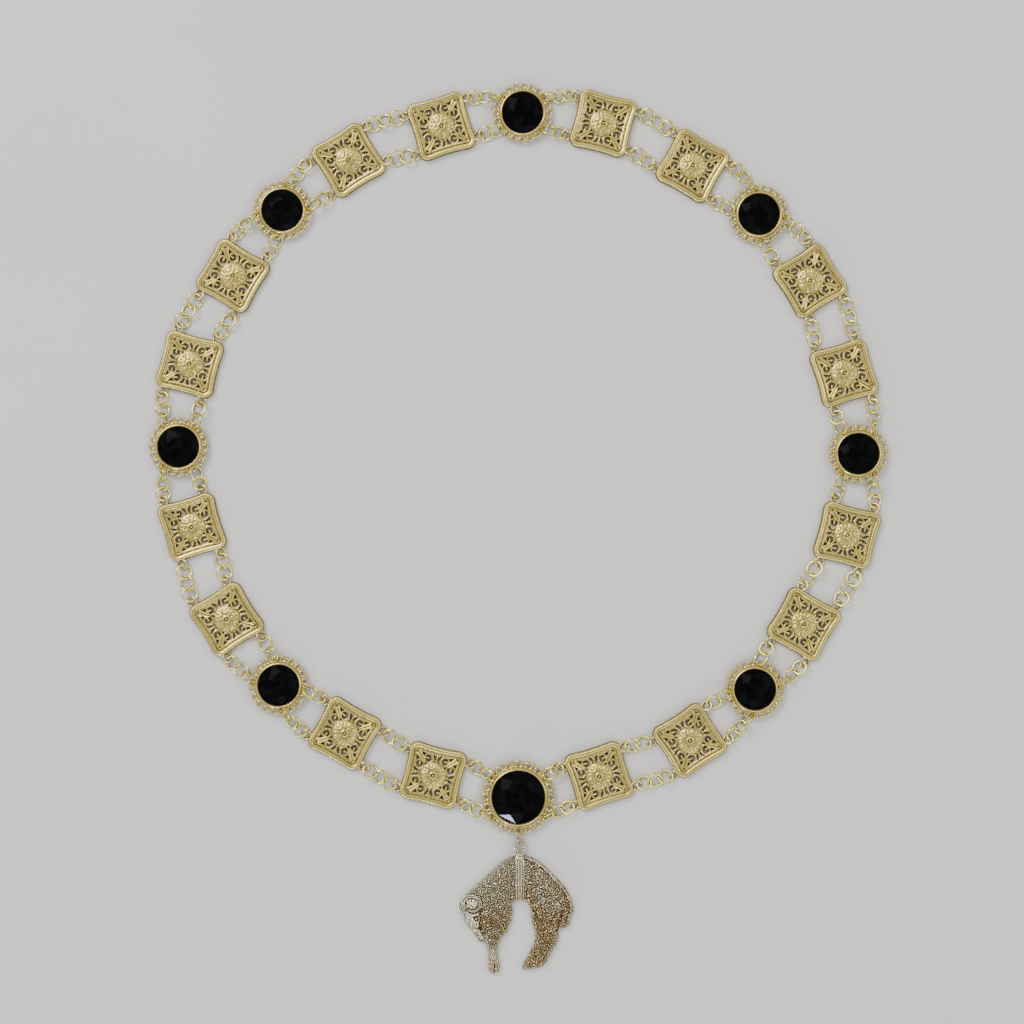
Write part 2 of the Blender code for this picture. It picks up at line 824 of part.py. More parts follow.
def main():
    """Builds the chain of office."""
    clear_scene()
    plate_gold = finish_material("plate_gold", Metal.PLATE, 1.0, 0.42)
    setting_gold = finish_material("setting_gold", Metal.SETTING, 1.0, 0.36)
    link_gold = finish_material("link_gold", Metal.LINK, 1.0, 0.24)
    fleece_metal = finish_material("fleece_metal", Metal.FLEECE, 1.0, 0.45)
    black_glass = finish_material("black_glass", (0.004, 0.004, 0.005), 0.0, 0.05)

    frames = station_frames()
    large = frames[LARGE_GROUP * GROUP_SIZE].translation
    edge = large.y - setting_diameter(LARGE_GROUP) / 2
    pendant_place = Matrix.Translation((large.x + PENDANT_SHIFT, edge, 0.0))

    assembly = Assembly("chain_of_office")
    add_plates(assembly, frames, plate_gold)
    add_chains(assembly, frames, link_gold)
    add_settings(assembly, frames, pendant_place, setting_gold, black_glass)
    add_pendant(assembly, pendant_place, link_gold, fleece_metal)
    assembly.centre()


main()
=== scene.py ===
"""Looks of the chain of office: pierced plates, settings, cut stones, loose links and the fleece.

Shapes are worked out in millimetres, each in the frame of its own piece, and put into the meshes in
metres at their place in the ring. A piece of the ring has its own +X clockwise along the ring and its
own +Y outwards. Heights are over the surface that the chain lies on.
"""

import logging
import math
from dataclasses import dataclass, field
from enum import Enum
from typing import Any, Sequence

import bmesh
import bpy
import numpy as np
from mathutils import Matrix, Vector, geometry


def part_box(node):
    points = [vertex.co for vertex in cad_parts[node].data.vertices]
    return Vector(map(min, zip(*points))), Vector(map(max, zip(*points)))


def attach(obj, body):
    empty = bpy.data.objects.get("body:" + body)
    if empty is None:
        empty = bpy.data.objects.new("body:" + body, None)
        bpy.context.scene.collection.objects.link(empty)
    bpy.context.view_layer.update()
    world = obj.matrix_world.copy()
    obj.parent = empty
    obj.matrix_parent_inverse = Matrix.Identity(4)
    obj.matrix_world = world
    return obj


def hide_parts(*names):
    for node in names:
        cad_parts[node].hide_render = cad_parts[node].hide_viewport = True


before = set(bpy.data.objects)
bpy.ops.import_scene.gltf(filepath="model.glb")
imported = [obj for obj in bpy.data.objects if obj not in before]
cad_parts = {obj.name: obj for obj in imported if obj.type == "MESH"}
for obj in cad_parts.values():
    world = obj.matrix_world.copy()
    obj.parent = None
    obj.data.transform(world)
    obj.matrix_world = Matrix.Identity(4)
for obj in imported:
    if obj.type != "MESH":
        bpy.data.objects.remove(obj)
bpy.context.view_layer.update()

MM = 0.001
FULL_TURN = 2 * math.pi
RELIEF = "relief"
NEAR = 1e-7
SHARP_CAST = 50.0
SHARP_FLEECE = 55.0
SHARP_WIRE = 60.0
# Relief of the hollow and of the gap walls that open into it: full patina, painted there as their shade.
DEEPEST = -1.0
TURNED_RELIEF = 0.2
WIRE_RELIEF = 0.4

log = logging.getLogger("chain_of_office")

Array = np.ndarray
Material = bpy.types.Material
Mesh = bpy.types.Mesh
Colour = tuple[float, float, float]
Pair = tuple[float, float]
Band = tuple[float, float, float, float]


class Slot(Enum):
    """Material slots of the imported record."""

    PLATE = "plate_gold"
    SETTING = "setting_gold"
    LINK = "link_gold"
    FLEECE = "fleece_metal"
    GLASS = "black_glass"


# Shader trees


class Value:
    """A socket of a shader tree whose arithmetic adds Math nodes."""

    def __init__(self, graph: "Graph", socket: bpy.types.NodeSocket) -> None:
        """Wraps one output socket of the graph."""
        self.graph = graph
        self.socket = socket

    def math(self, operation: str, *others: Any, swapped: bool = False, clamp: bool = False) -> "Value":
        """Adds a Math node.

        Args:
            operation: Name of the Math node's operation.
            others: Its other operands, as values or numbers.
            swapped: Whether this value is the second operand.
            clamp: Whether the result is kept from 0 to 1.

        Returns:
            The node's result.
        """
        operands = [self, *others]
        if swapped:
            operands.reverse()
        settings = {"operation": operation, "use_clamp": clamp}
        return self.graph.node("ShaderNodeMath", settings, dict(enumerate(operands)))

    def __add__(self, other: Any) -> "Value":
        """This value plus the other."""
        return self.math("ADD", other)

    __radd__ = __add__

    def __mul__(self, other: Any) -> "Value":
        """This value times the other."""
        return self.math("MULTIPLY", other)

    __rmul__ = __mul__

    def __sub__(self, other: Any) -> "Value":
        """This value less the other."""
        return self.math("SUBTRACT", other)

    def __rsub__(self, other: Any) -> "Value":
        """The other less this value."""
        return self.math("SUBTRACT", other, swapped=True)

    def __pow__(self, other: Any) -> "Value":
        """This value to a power."""
        return self.math("POWER", other)

    def rise(self, low: float, high: float) -> "Value":
        """0 up to low and 1 from high, and smooth between them.

        Args:
            low: Value up to which the result is 0.
            high: Value from which it is 1.

        Returns:
            The result.
        """
        settings = {"interpolation_type": "SMOOTHSTEP"}
        limits = {"Value": self, "From Min": low, "From Max": high}
        return self.graph.node("ShaderNodeMapRange", settings, limits, "Result")


class Graph:
    """The shader tree of a material or of the world."""

    def __init__(self, owner: Any) -> None:
        """Empties the tree of a new owner.

        Args:
            owner: The material or the world.
        """
        owner.use_nodes = True
        self.owner = owner
        self.tree = owner.node_tree
        self.tree.nodes.clear()

    def node(
        self, kind: str, settings: dict[str, Any], inputs: dict[Any, Any], output: Any = 0
    ) -> Value:
        """Adds one node.

        Args:
            kind: The node's type.
            settings: Its properties, which are set first, with a ramp's stops under "stops".
            inputs: Values or constants by a socket's name, identifier or number.
            output: Name, identifier or number of the socket that is returned, or None.

        Returns:
            The output socket.
        """
        made = self.tree.nodes.new(kind)
        for key, value in settings.items():
            if key == "stops":
                self.set_stops(made.color_ramp.elements, value)
            else:
                setattr(made, key, value)
        for key, value in inputs.items():
            socket = self.find(made.inputs, key)
            if isinstance(value, Value):
                self.tree.links.new(value.socket, socket)
            else:
                socket.default_value = (*value, 1.0) if self.is_colour(socket, value) else value
        return Value(self, None if output is None else self.find(made.outputs, output))

    @staticmethod
    def set_stops(elements: Any, stops: Sequence[tuple[float, Colour]]) -> None:
        """Gives a ramp these stops, each a position and a colour.

        Args:
            elements: The ramp's stops, of which the first is kept.
            stops: Positions and colours.
        """
        while len(elements) > 1:
            elements.remove(elements[-1])
        for i, (position, colour) in enumerate(stops):
            stop = elements.new(position) if i else elements[0]
            stop.position = position
            stop.color = (*colour, 1.0)

    @staticmethod
    def is_colour(socket: bpy.types.NodeSocket, value: Any) -> bool:
        """Whether a constant is a colour of three numbers for a socket of four."""
        return socket.type == "RGBA" and len(value) == 3

    @staticmethod
    def find(sockets: Any, key: Any) -> bpy.types.NodeSocket:
        """The socket with this number, identifier or name.

        Args:
            sockets: Inputs or outputs of a node.
            key: Number, identifier or name.

        Returns:
            The socket.
        """
        if isinstance(key, int):
            return sockets[key]
        return next(s for s in sockets if key in (s.identifier, s.name))

    def place(self) -> Value:
        """Object coordinates, in metres."""
        return self.node("ShaderNodeTexCoord", {}, {}, "Object")

    def attribute(self, name: str) -> Value:
        """A number kept on the mesh's points."""
        return self.node("ShaderNodeAttribute", {"attribute_name": name}, {}, "Fac")

    def noise(self, size: float, detail: float = 2.0) -> Value:
        """Noise from 0 to 1 with lumps of about this size in millimetres."""
        inputs = {"Vector": self.place(), "Scale": 1.0 / (size * MM), "Detail": detail}
        return self.node("ShaderNodeTexNoise", {}, inputs, "Fac")

    def mix(self, share: Any, first: Any, second: Any) -> Value:
        """Colour between two others."""
        inputs = {"Factor_Float": share, "A_Color": first, "B_Color": second}
        return self.node("ShaderNodeMix", {"data_type": "RGBA"}, inputs, "Result_Color")

    def bump(self, height: Value, depth: float) -> Value:
        """Normal of a surface with this height map, whose full height is given in millimetres."""
        inputs = {"Height": height, "Distance": depth * MM, "Strength": 1.0}
        return self.node("ShaderNodeBump", {}, inputs, "Normal")

    def finish(self, inputs: dict[str, Any]) -> Material:
        """Adds the Principled shader and the output, and returns the material.

        Args:
            inputs: Values or constants of the shader, by socket.

        Returns:
            The material that owns the tree.
        """
        shader = self.node("ShaderNodeBsdfPrincipled", {}, inputs, "BSDF")
        self.node("ShaderNodeOutputMaterial", {}, {"Surface": shader}, None)
        return self.owner


@dataclass(frozen=True)
class MetalFinish:
    """Cast or drawn metal: bright where it is rubbed, with patina and painted shade where its relief is
    deep.

    The relief attribute runs from -1 in the depths to +1 on the crests. Its dark end is the metal's
    tarnish and also painted shade, in recesses and on gap walls.
    """

    name: str
    bright: Colour
    second: Colour
    # Colour of the depths: the metal's tarnish, and painted shade in recesses and on gap walls.
    patina_and_shade: Colour
    rub_and_light_high: float
    smooth: float
    rough: float
    rub_and_light_low: float = -0.8
    tone_size: float = 9.0
    tone_edges: Pair = (0.35, 0.65)
    tone_tilt: Pair = (0.0, 0.0)
    tone_level: float = 0.0
    wear: float = 0.7
    speckle_size: float = 1.05
    speckle_detail: float = 4.0
    grain_size: float = 0.35
    grain_detail: float = 3.0
    grain_depth: float = 0.012
    rough_spread: float = 0.16

    def material(self) -> Material:
        """Makes the material.

        Base colour runs from the patina, which is tarnish and painted shade, to a tone between the two
        metals, by the relief and by a noise that breaks its edge. The second metal gains by the tilt for
        each metre along X and Y.
        Roughness falls as the metal is rubbed.

        Returns:
            The material.
        """
        graph = Graph(bpy.data.materials.new(self.name))
        relief = graph.attribute(RELIEF)
        across, up = (
            graph.node("ShaderNodeSeparateXYZ", {}, {"Vector": graph.place()}, axis) for axis in "XY"
        )
        cloud = graph.noise(self.tone_size) + across * self.tone_tilt[0]
        cloud = cloud + up * self.tone_tilt[1] + self.tone_level
        speckle = graph.noise(self.speckle_size, self.speckle_detail)
        # Share of bright metal: rubbed crests, with the depths darkened to the patina as tarnish and
        # painted shade.
        rubbed_and_lit = (relief + (speckle - 0.5) * self.wear).rise(self.rub_and_light_low, self.rub_and_light_high)
        metal = graph.mix(cloud.rise(*self.tone_edges), self.bright, self.second)
        colour = graph.mix(rubbed_and_lit, self.patina_and_shade, metal)
        grain = graph.noise(self.grain_size, self.grain_detail)
        uneven = (grain - 0.5) * self.rough_spread
        roughness = rubbed_and_lit * (self.smooth - self.rough) + self.rough + uneven
        return graph.finish(
            {
                "Base Color": colour,
                "Metallic": 1.0,
                "Roughness": roughness,
                "Normal": graph.bump(grain, self.grain_depth),
            }
        )


@dataclass(frozen=True)
class GlassFinish:
    """Opaque black glass with a faint haze of handling."""

    name: str
    dark: Colour
    haze: Colour
    haze_size: float = 4.0
    haze_edges: Pair = (0.4, 0.8)
    gloss_size: float = 1.2
    detail: float = 3.0
    smooth: float = 0.02
    rough_spread: float = 0.05
    specular: float = 0.018
    wave_size: float = 2.5
    wave_depth: float = 0.006

    def material(self) -> Material:
        """Makes the material: near black, clouded by a broad noise, with a low gloss variation.

        Returns:
            The material.
        """
        graph = Graph(bpy.data.materials.new(self.name))
        cloud = graph.noise(self.haze_size, self.detail)
        gloss = graph.noise(self.gloss_size, self.detail)
        return graph.finish(
            {
                "Base Color": graph.mix(cloud.rise(*self.haze_edges), self.dark, self.haze),
                "Roughness": gloss * self.rough_spread + self.smooth,
                "Specular IOR Level": self.specular,
                "Normal": graph.bump(graph.noise(self.wave_size), self.wave_depth),
            }
        )


@dataclass(frozen=True)
class FloorFinish:
    """Pale matt ground."""

    name: str
    light: Colour
    shade: Colour
    cloud_size: float = 90.0
    detail: float = 4.0
    rough: float = 0.75

    def material(self) -> Material:
        """Makes the material: two pale tones in broad soft clouds.

        Returns:
            The material.
        """
        graph = Graph(bpy.data.materials.new(self.name))
        cloud = graph.noise(self.cloud_size, self.detail)
        colour = graph.mix(cloud, self.light, self.shade)
        return graph.finish({"Base Color": colour, "Roughness": self.rough})


# Each patina below darkens the depths both as tarnish and as painted shade.
PLATE_GOLD = MetalFinish(
    name="plate_gold",
    bright=(0.67, 0.53, 0.15),
    second=(0.56, 0.46, 0.14),
    patina_and_shade=(0.12, 0.08, 0.028),
    rub_and_light_high=0.35,
    smooth=0.27,
    rough=0.50,
    wear=1.5,
)
SETTING_GOLD = MetalFinish(
    name="setting_gold",
    bright=(0.68, 0.535, 0.19),
    second=(0.61, 0.505, 0.185),
    patina_and_shade=(0.13, 0.085, 0.03),
    rub_and_light_high=0.3,
    smooth=0.20,
    rough=0.44,
)
LINK_GOLD = MetalFinish(
    name="link_gold",
    bright=(0.84, 0.76, 0.19),
    second=(0.82, 0.75, 0.24),
    patina_and_shade=(0.22, 0.16, 0.03),
    rub_and_light_high=0.1,
    smooth=0.15,
    rough=0.32,
)
LOOP_GOLD = MetalFinish(
    name="loop_gold",
    bright=(0.76, 0.57, 0.25),
    second=(0.72, 0.59, 0.25),
    patina_and_shade=(0.22, 0.14, 0.045),
    rub_and_light_high=0.1,
    smooth=0.2,
    rough=0.38,
)
FLEECE_METAL = MetalFinish(
    name="fleece_metal",
    bright=(0.79, 0.73, 0.55),
    second=(0.65, 0.52, 0.31),
    patina_and_shade=(0.05, 0.035, 0.02),
    rub_and_light_low=-0.68,
    rub_and_light_high=0.42,
    smooth=0.22,
    rough=0.5,
    tone_tilt=(10.0, -9.0),
    tone_level=-1.62,
)
BLACK_GLASS = GlassFinish(name="black_glass", dark=(0.002, 0.002, 0.0025), haze=(0.005, 0.0053, 0.006))
PALE_FLOOR = FloorFinish(name="pale_floor", light=(0.66, 0.65, 0.63), shade=(0.61, 0.605, 0.59))


# Places, as 4 by 4 arrays in millimetres


def shift(x: float, y: float, z: float = 0.0) -> Array:
    """A move without a turn.

    Args:
        x: Move along X in millimetres.
        y: Move along Y.
        z: Move upwards.

    Returns:
        The place.
    """
    place = np.eye(4)
    place[:3, 3] = (x, y, z)
    return place


def turn(axis: int, angle: float) -> Array:
    """A turn about X, Y or Z (0, 1 or 2), counter-clockwise seen from the axis's end.

    Args:
        axis: Number of the axis.
        angle: Angle in radians.

    Returns:
        The place.
    """
    place = np.eye(4)
    first, second = (axis + 1) % 3, (axis + 2) % 3
    place[first, first] = place[second, second] = math.cos(angle)
    place[second, first] = math.sin(angle)
    place[first, second] = -math.sin(angle)
    return place


# Surfaces


@dataclass
class Surface:
    """Points in millimetres, faces that point outwards, and the relief at each point."""

    points: Array
    faces: list[list[int]]
    relief: Array

    def placed(self, place: Array) -> "Surface":
        """This surface at another place."""
        return Surface(self.points @ place[:3, :3].T + place[:3, 3], self.faces, self.relief)

    @staticmethod
    def joined(parts: Sequence["Surface"]) -> "Surface":
        """Several surfaces as one.

        Args:
            parts: The surfaces.

        Returns:
            One surface with all their points and faces.
        """
        starts = np.cumsum([0] + [len(part.points) for part in parts[:-1]])
        faces = [
            [int(start) + i for i in face] for part, start in zip(parts, starts) for face in part.faces
        ]
        points = np.concatenate([part.points for part in parts])
        return Surface(points, faces, np.concatenate([part.relief for part in parts]))

    def mesh(self, name: str, material: Material, sharp: float) -> Mesh:
        """Makes the mesh.

        Args:
            name: The mesh's name.
            material: Its only material.
            sharp: Angle in degrees over which an edge is sharp.

        Returns:
            The mesh, in metres.
        """
        mesh = bpy.data.meshes.new(name)
        mesh.from_pydata((self.points * MM).tolist(), [], self.faces)
        mesh.attributes.new(RELIEF, "FLOAT", "POINT")
        mesh.attributes[RELIEF].data.foreach_set("value", self.relief.astype(np.float32))
        mesh.materials.append(material)
        mesh.shade_smooth()
        mesh.set_sharp_from_angle(angle=math.radians(sharp))
        mesh.update()
        return mesh


def quads(rows: int, columns: int, round_rows: bool) -> Array:
    """Faces of a grid that is closed along its columns.

    Args:
        rows: Number of rows of points.
        columns: Number of points in a row.
        round_rows: Whether the last row joins the first.

    Returns:
        Four point numbers for each face: along the row first, and then to the next row.
    """
    row = np.arange(rows if round_rows else rows - 1)[:, None]
    column = np.arange(columns)[None, :]
    beside = (column + 1) % columns
    above = (row + 1) % rows
    near, far = row * columns, above * columns
    corners = (near + column, near + beside, far + beside, far + column)
    return np.stack(corners, axis=-1).reshape(-1, 4)


def as_points(x: Array, y: Array, z: Array) -> Array:
    """Rows of three coordinates from arrays that broadcast together."""
    return np.stack(np.broadcast_arrays(x, y, z), axis=-1).reshape(-1, 3)


def ring(radius: float, wire: float, steps: int = 28, sides: int = 8) -> Surface:
    """A round ring of wire in the XY plane.

    A point is (radius + w cos s) from the axis at the angle t, and w sin s below the plane, with w
    half the wire's thickness. The relief is a constant less the square of cos s, so its flanks are dull,
    with patina and painted shade.

    Args:
        radius: Radius of the wire's middle line.
        wire: Thickness of the wire.
        steps: Points round the ring.
        sides: Points round the wire.

    Returns:
        The closed surface.
    """
    along = np.arange(steps)[:, None] * FULL_TURN / steps
    section = np.arange(sides)[None, :] * FULL_TURN / sides
    out = radius + wire / 2 * np.cos(section)
    points = as_points(out * np.cos(along), out * np.sin(along), -wire / 2 * np.sin(section))
    relief = np.broadcast_to(WIRE_RELIEF - np.cos(section) ** 2, (steps, sides))
    return Surface(points, quads(steps, sides, True).tolist(), relief.reshape(-1))


def turned(profile: Sequence[Pair], steps: int) -> Surface:
    """A shape turned about Z.

    A point of the profile (r, z) goes to (r cos t, r sin t, z). The profile runs from the axis
    outwards under the shape, up its outer side and back over it, and a first and last point with
    r of 0 become poles. Without them the profile is closed on itself.

    Args:
        profile: Radius and height of each point.
        steps: Points round the axis.

    Returns:
        The closed surface.
    """
    poled = profile[0][0] == 0.0
    body = np.array(profile[1:-1] if poled else profile)
    angle = np.arange(steps) * FULL_TURN / steps
    radius, height = body[:, :1], body[:, 1:]
    points = as_points(radius * np.cos(angle), radius * np.sin(angle), height)
    faces = quads(len(body), steps, not poled).tolist()
    if poled:
        low, high = len(points), len(points) + 1
        last = (len(body) - 1) * steps
        beside = (np.arange(steps) + 1) % steps
        faces += [[low, int(j), i] for i, j in enumerate(beside)]
        faces += [[high, last + i, last + int(j)] for i, j in enumerate(beside)]
        points = np.vstack((points, (0.0, 0.0, profile[0][1]), (0.0, 0.0, profile[-1][1])))
    return Surface(points, faces, np.full(len(points), TURNED_RELIEF))


def half_round(distance: Array, radius: float) -> Array:
    """Half-round section: the root of 1 - (distance / radius) squared, and 0 past the radius."""
    return np.sqrt(np.clip(1 - (distance / radius) ** 2, 0, 1))


def rise(values: Array, low: float, high: float) -> Array:
    """0 up to low and 1 from high, and smooth between them: t squared times (3 - 2 t)."""
    share = np.clip((values - low) / (high - low), 0, 1)
    return share * share * (3 - 2 * share)


def band(values: Array, low: float, full: float, last: float, high: float) -> Array:
    """1 from full to last, 0 up to low and from high, and smooth between them."""
    return rise(values, low, full) * (1 - rise(values, last, high))


def from_point(x: Array, y: Array, point: Pair) -> Array:
    """Distance from a point."""
    return np.hypot(x - point[0], y - point[1])


def from_line(x: Array, y: Array, start: Pair, end: Pair) -> Array:
    """Distance from a straight stretch.

    Args:
        x: X of each point.
        y: Y of each point.
        start: One end of the stretch.
        end: Its other end.

    Returns:
        The distances.
    """
    run = np.subtract(end, start)
    share = ((x - start[0]) * run[0] + (y - start[1]) * run[1]) / (run @ run)
    share = np.clip(share, 0, 1)
    return np.hypot(x - start[0] - share * run[0], y - start[1] - share * run[1])


@dataclass(frozen=True)
class Stroke:
    """Straight stroke of a relief: its ends, its reach to each side and its height or depth."""

    start: Pair
    end: Pair
    reach: float
    height: float

    def away(self, x: Array, y: Array) -> Array:
        """Distance from the stroke's middle line."""
        return from_line(x, y, self.start, self.end)

    def ridge(self, x: Array, y: Array) -> Array:
        """Height times the half-round section over the distance."""
        return self.height * half_round(self.away(x, y), self.reach)

    def fold(self, x: Array, y: Array) -> Array:
        """Height times e to the power of less the square of distance over reach."""
        return self.height * np.exp(-((self.away(x, y) / self.reach) ** 2))


def local_mean(height: Array, cells: int) -> Array:
    """Mean over a square of 2 cells + 1 points a side, twice, from sums along each axis.

    Args:
        height: Values at the grid's points.
        cells: Steps to each side of a point.

    Returns:
        The means, as many as the values.
    """
    mean = height
    for axis in (0, 1, 0, 1):
        padded = np.pad(mean, [(cells + 1, cells) if i == axis else (0, 0) for i in (0, 1)], "edge")
        total = np.cumsum(padded, axis=axis)
        width = 2 * cells + 1
        count = total.shape[axis]
        mean = (
            np.take(total, range(width, count), axis) - np.take(total, range(count - width), axis)
        ) / width
    return mean


# Corners of a cell are 0 to 3, counter-clockwise, and the cuts on its sides 4 to 7. A key adds 1, 2,
# 4 and 8 for the corners that lie in the metal.
CELL_SHAPES = {
    1: (0, 4, 7),
    2: (1, 5, 4),
    3: (0, 1, 5, 7),
    4: (2, 6, 5),
    5: (0, 4, 5, 2, 6, 7),
    6: (1, 2, 6, 4),
    7: (0, 1, 2, 6, 7),
    8: (3, 7, 6),
    9: (0, 4, 6, 3),
    10: (1, 5, 6, 3, 7, 4),
    11: (0, 1, 5, 6, 3),
    12: (2, 3, 7, 5),
    13: (0, 4, 5, 2, 3),
    14: (1, 2, 3, 7, 4),
    15: (0, 1, 2, 3),
}


@dataclass(frozen=True)
class Hollow:
    """Hollow in the back of a sheet: its edge, counter-clockwise seen from the top, and its roof."""

    edge: Array
    roof: float


def odd_crossings(points: Array, starts: Array, ends: Array) -> Array:
    """Whether a line from each point along +X crosses an odd number of straight stretches.

    Args:
        points: Places of the points, one in a row.
        starts: First ends of the stretches.
        ends: Their other ends.

    Returns:
        One truth value for each point.
    """
    x, y = points[:, :1], points[:, 1:2]
    (x_0, y_0), (x_1, y_1) = starts.T, ends.T
    climb = np.where(y_0 == y_1, 1.0, y_1 - y_0)
    crossed = ((y_0 > y) != (y_1 > y)) & (x < x_0 + (y - y_0) * (x_1 - x_0) / climb)
    return crossed.sum(axis=1) % 2 == 1


@dataclass
class Relief:
    """Pierced sheet of metal with a worked top and a flat back, as a height over a grid.

    Its relief compares the height with its mean over the reach, in steps of the grid.
    """

    low: Pair
    high: Pair
    spacing: float
    cut_margin: float = 0.06
    relief_depth: float = 0.35
    # Relief at the foot of the gap walls: their dark patina is painted shade.
    edge_relief: float = -0.6
    reach: int = 4

    def grid(self) -> tuple[Array, Array]:
        """Places of the grid's points, rows along Y and columns along X.

        Returns:
            Distances along X and along Y of each grid point.
        """
        across = np.arange(self.low[0], self.high[0] + self.spacing, self.spacing)
        along = np.arange(self.low[1], self.high[1] + self.spacing, self.spacing)
        return tuple(np.meshgrid(across, along))

    def cuts(self, inside: Array, axis: int) -> tuple[Array, Array]:
        """Where the metal's edge crosses the grid's lines along an axis.

        Args:
            inside: Distance inside the metal at each grid point.
            axis: 1 for the lines along X and 0 for those along Y.

        Returns:
            Which steps are crossed, and the share of the step at which: inside / (inside - next).
        """
        here = inside[:, :-1] if axis else inside[:-1]
        there = inside[:, 1:] if axis else inside[1:]
        crossed = (here > 0) != (there > 0)
        share = here / np.where(crossed, here - there, 1.0)
        return crossed, np.clip(share, self.cut_margin, 1 - self.cut_margin)

    def surface(
        self,
        inside: Array,
        height: Array,
        back: float,
        hollow: Hollow | None = None,
        form: Array | float = 0.0,
    ) -> Surface:
        """Closed surface of the sheet, by marching squares.

        Args:
            inside: Distance inside the metal at each grid point, below 0 outside it.
            height: Height of the top.
            back: Height of the flat back.
            hollow: Hollow in the back, into which the gaps within its edge open.
            form: Height of the large forms, which the relief leaves out.

        Returns:
            The top over the cells in the metal, walls down from its edge, and the back.
        """
        x, y = self.grid()
        fine = height - form
        # Height below its local mean darkens in the finishes, as patina and painted shade.
        relief = np.clip((fine - local_mean(fine, self.reach)) / self.relief_depth, -1, 1)
        layers = np.stack((x, y, height, relief), axis=-1)
        metal = inside > 0
        across, share_across = self.cuts(inside, 1)
        along, share_along = self.cuts(inside, 0)
        share_across, share_along = share_across[..., None], share_along[..., None]
        between_across = layers[:, :-1] * (1 - share_across) + layers[:, 1:] * share_across
        between_along = layers[:-1] * (1 - share_along) + layers[1:] * share_along
        rows = np.concatenate((layers[metal], between_across[across], between_along[along]))

        numbers = []
        start = 0
        for chosen in (metal, across, along):
            number = np.full(chosen.shape, -1)
            number[chosen] = start + np.arange(chosen.sum())
            start += int(chosen.sum())
            numbers.append(number)
        point, cut_across, cut_along = numbers
        corners = np.stack(
            (
                point[:-1, :-1],
                point[:-1, 1:],
                point[1:, 1:],
                point[1:, :-1],
                cut_across[:-1],
                cut_along[:, 1:],
                cut_across[1:],
                cut_along[:, :-1],
            )
        )
        weights = np.array((1, 2, 4, 8))[:, None, None]
        kinds = ((corners[:4] >= 0) * weights).sum(axis=0)
        faces: list[list[int]] = []
        edge: list[Array] = []
        for kind, shape in CELL_SHAPES.items():
            cell = corners[:, kinds == kind]
            faces += cell[list(shape)].T.tolist()
            for first, second in zip(shape, shape[1:] + shape[:1]):
                if first > 3 and second > 3:
                    edge.append(cell[[first, second]].T)
        edges = np.concatenate(edge)

        border, low_edges = np.unique(edges, return_inverse=True)
        low_edges = low_edges.reshape(-1, 2)
        base = rows[border].copy()
        # The walls' lower edges take a low relief, whose patina paints shade down the gap walls.
        base[:, 2:] = back, self.edge_relief
        start = len(rows)
        walls = np.stack((edges[:, 1], edges[:, 0], *(low_edges.T + start)), axis=-1)
        base, under = self.underside(base, low_edges, hollow)
        faces += walls.tolist() + [[start + i for i in face] for face in under]
        rows = np.concatenate((rows, base))
        return Surface(rows[:, :3], faces, rows[:, 3])

    def underside(
        self, base: Array, edges: Array, hollow: Hollow | None
    ) -> tuple[Array, list[list[int]]]:
        """Back of the sheet, flat but for its hollow.

        Args:
            base: Rows of the border's lower points, all at the back's height.
            edges: Pairs of their numbers, with the metal on the left.
            hollow: The hollow, or None.

        Returns:
            The rows with the hollow's own added, and the faces.
        """
        if hollow is None:
            return base, self.covered(base, edges)
        count = len(hollow.edge)
        low = np.column_stack((hollow.edge, np.full(count, base[0, 2]), np.full(count, DEEPEST)))
        high = low.copy()
        high[:, 2] = hollow.roof
        first = np.arange(count)
        loop = np.stack((first, (first + 1) % count), axis=-1)
        low_loop, high_loop = loop + len(base), loop + len(base) + count
        opens = odd_crossings(base, hollow.edge, np.roll(hollow.edge, -1, axis=0))
        # Gap walls over the hollow reach down to its roof and take the deepest relief, as painted shade.
        base[opens, 2:] = hollow.roof, DEEPEST
        rows = np.concatenate((base, low, high))
        gaps = opens[edges[:, 0]]
        faces = self.covered(rows, np.concatenate((edges[~gaps], low_loop)))
        faces += self.covered(rows, np.concatenate((edges[gaps], high_loop)))
        faces += np.column_stack((low_loop[:, 0], high_loop, low_loop[:, 1])).tolist()
        return rows, faces

    @staticmethod
    def covered(rows: Array, edges: Array) -> list[list[int]]:
        """Flat faces between edges, looking down.

        A face of the edges' triangulation lies in the metal when a line from its middle along +X
        crosses the edges an odd number of times.

        Args:
            rows: Rows of points.
            edges: Pairs of point numbers.

        Returns:
            Three point numbers for each face.
        """
        used, compact = np.unique(edges, return_inverse=True)
        compact = compact.reshape(-1, 2)
        points = rows[used, :2]
        places = [Vector(point) for point in points.tolist()]
        found = geometry.delaunay_2d_cdt(places, compact.tolist(), [], 0, NEAR, True)
        source = np.array([ids[0] for ids in found[3]])
        faces = source[np.array(found[2])]
        middles = points[faces].mean(axis=1)
        metal = odd_crossings(middles, points[compact[:, 0]], points[compact[:, 1]])
        return used[faces[metal][:, ::-1]].tolist()


# Where the pieces of the ring lie


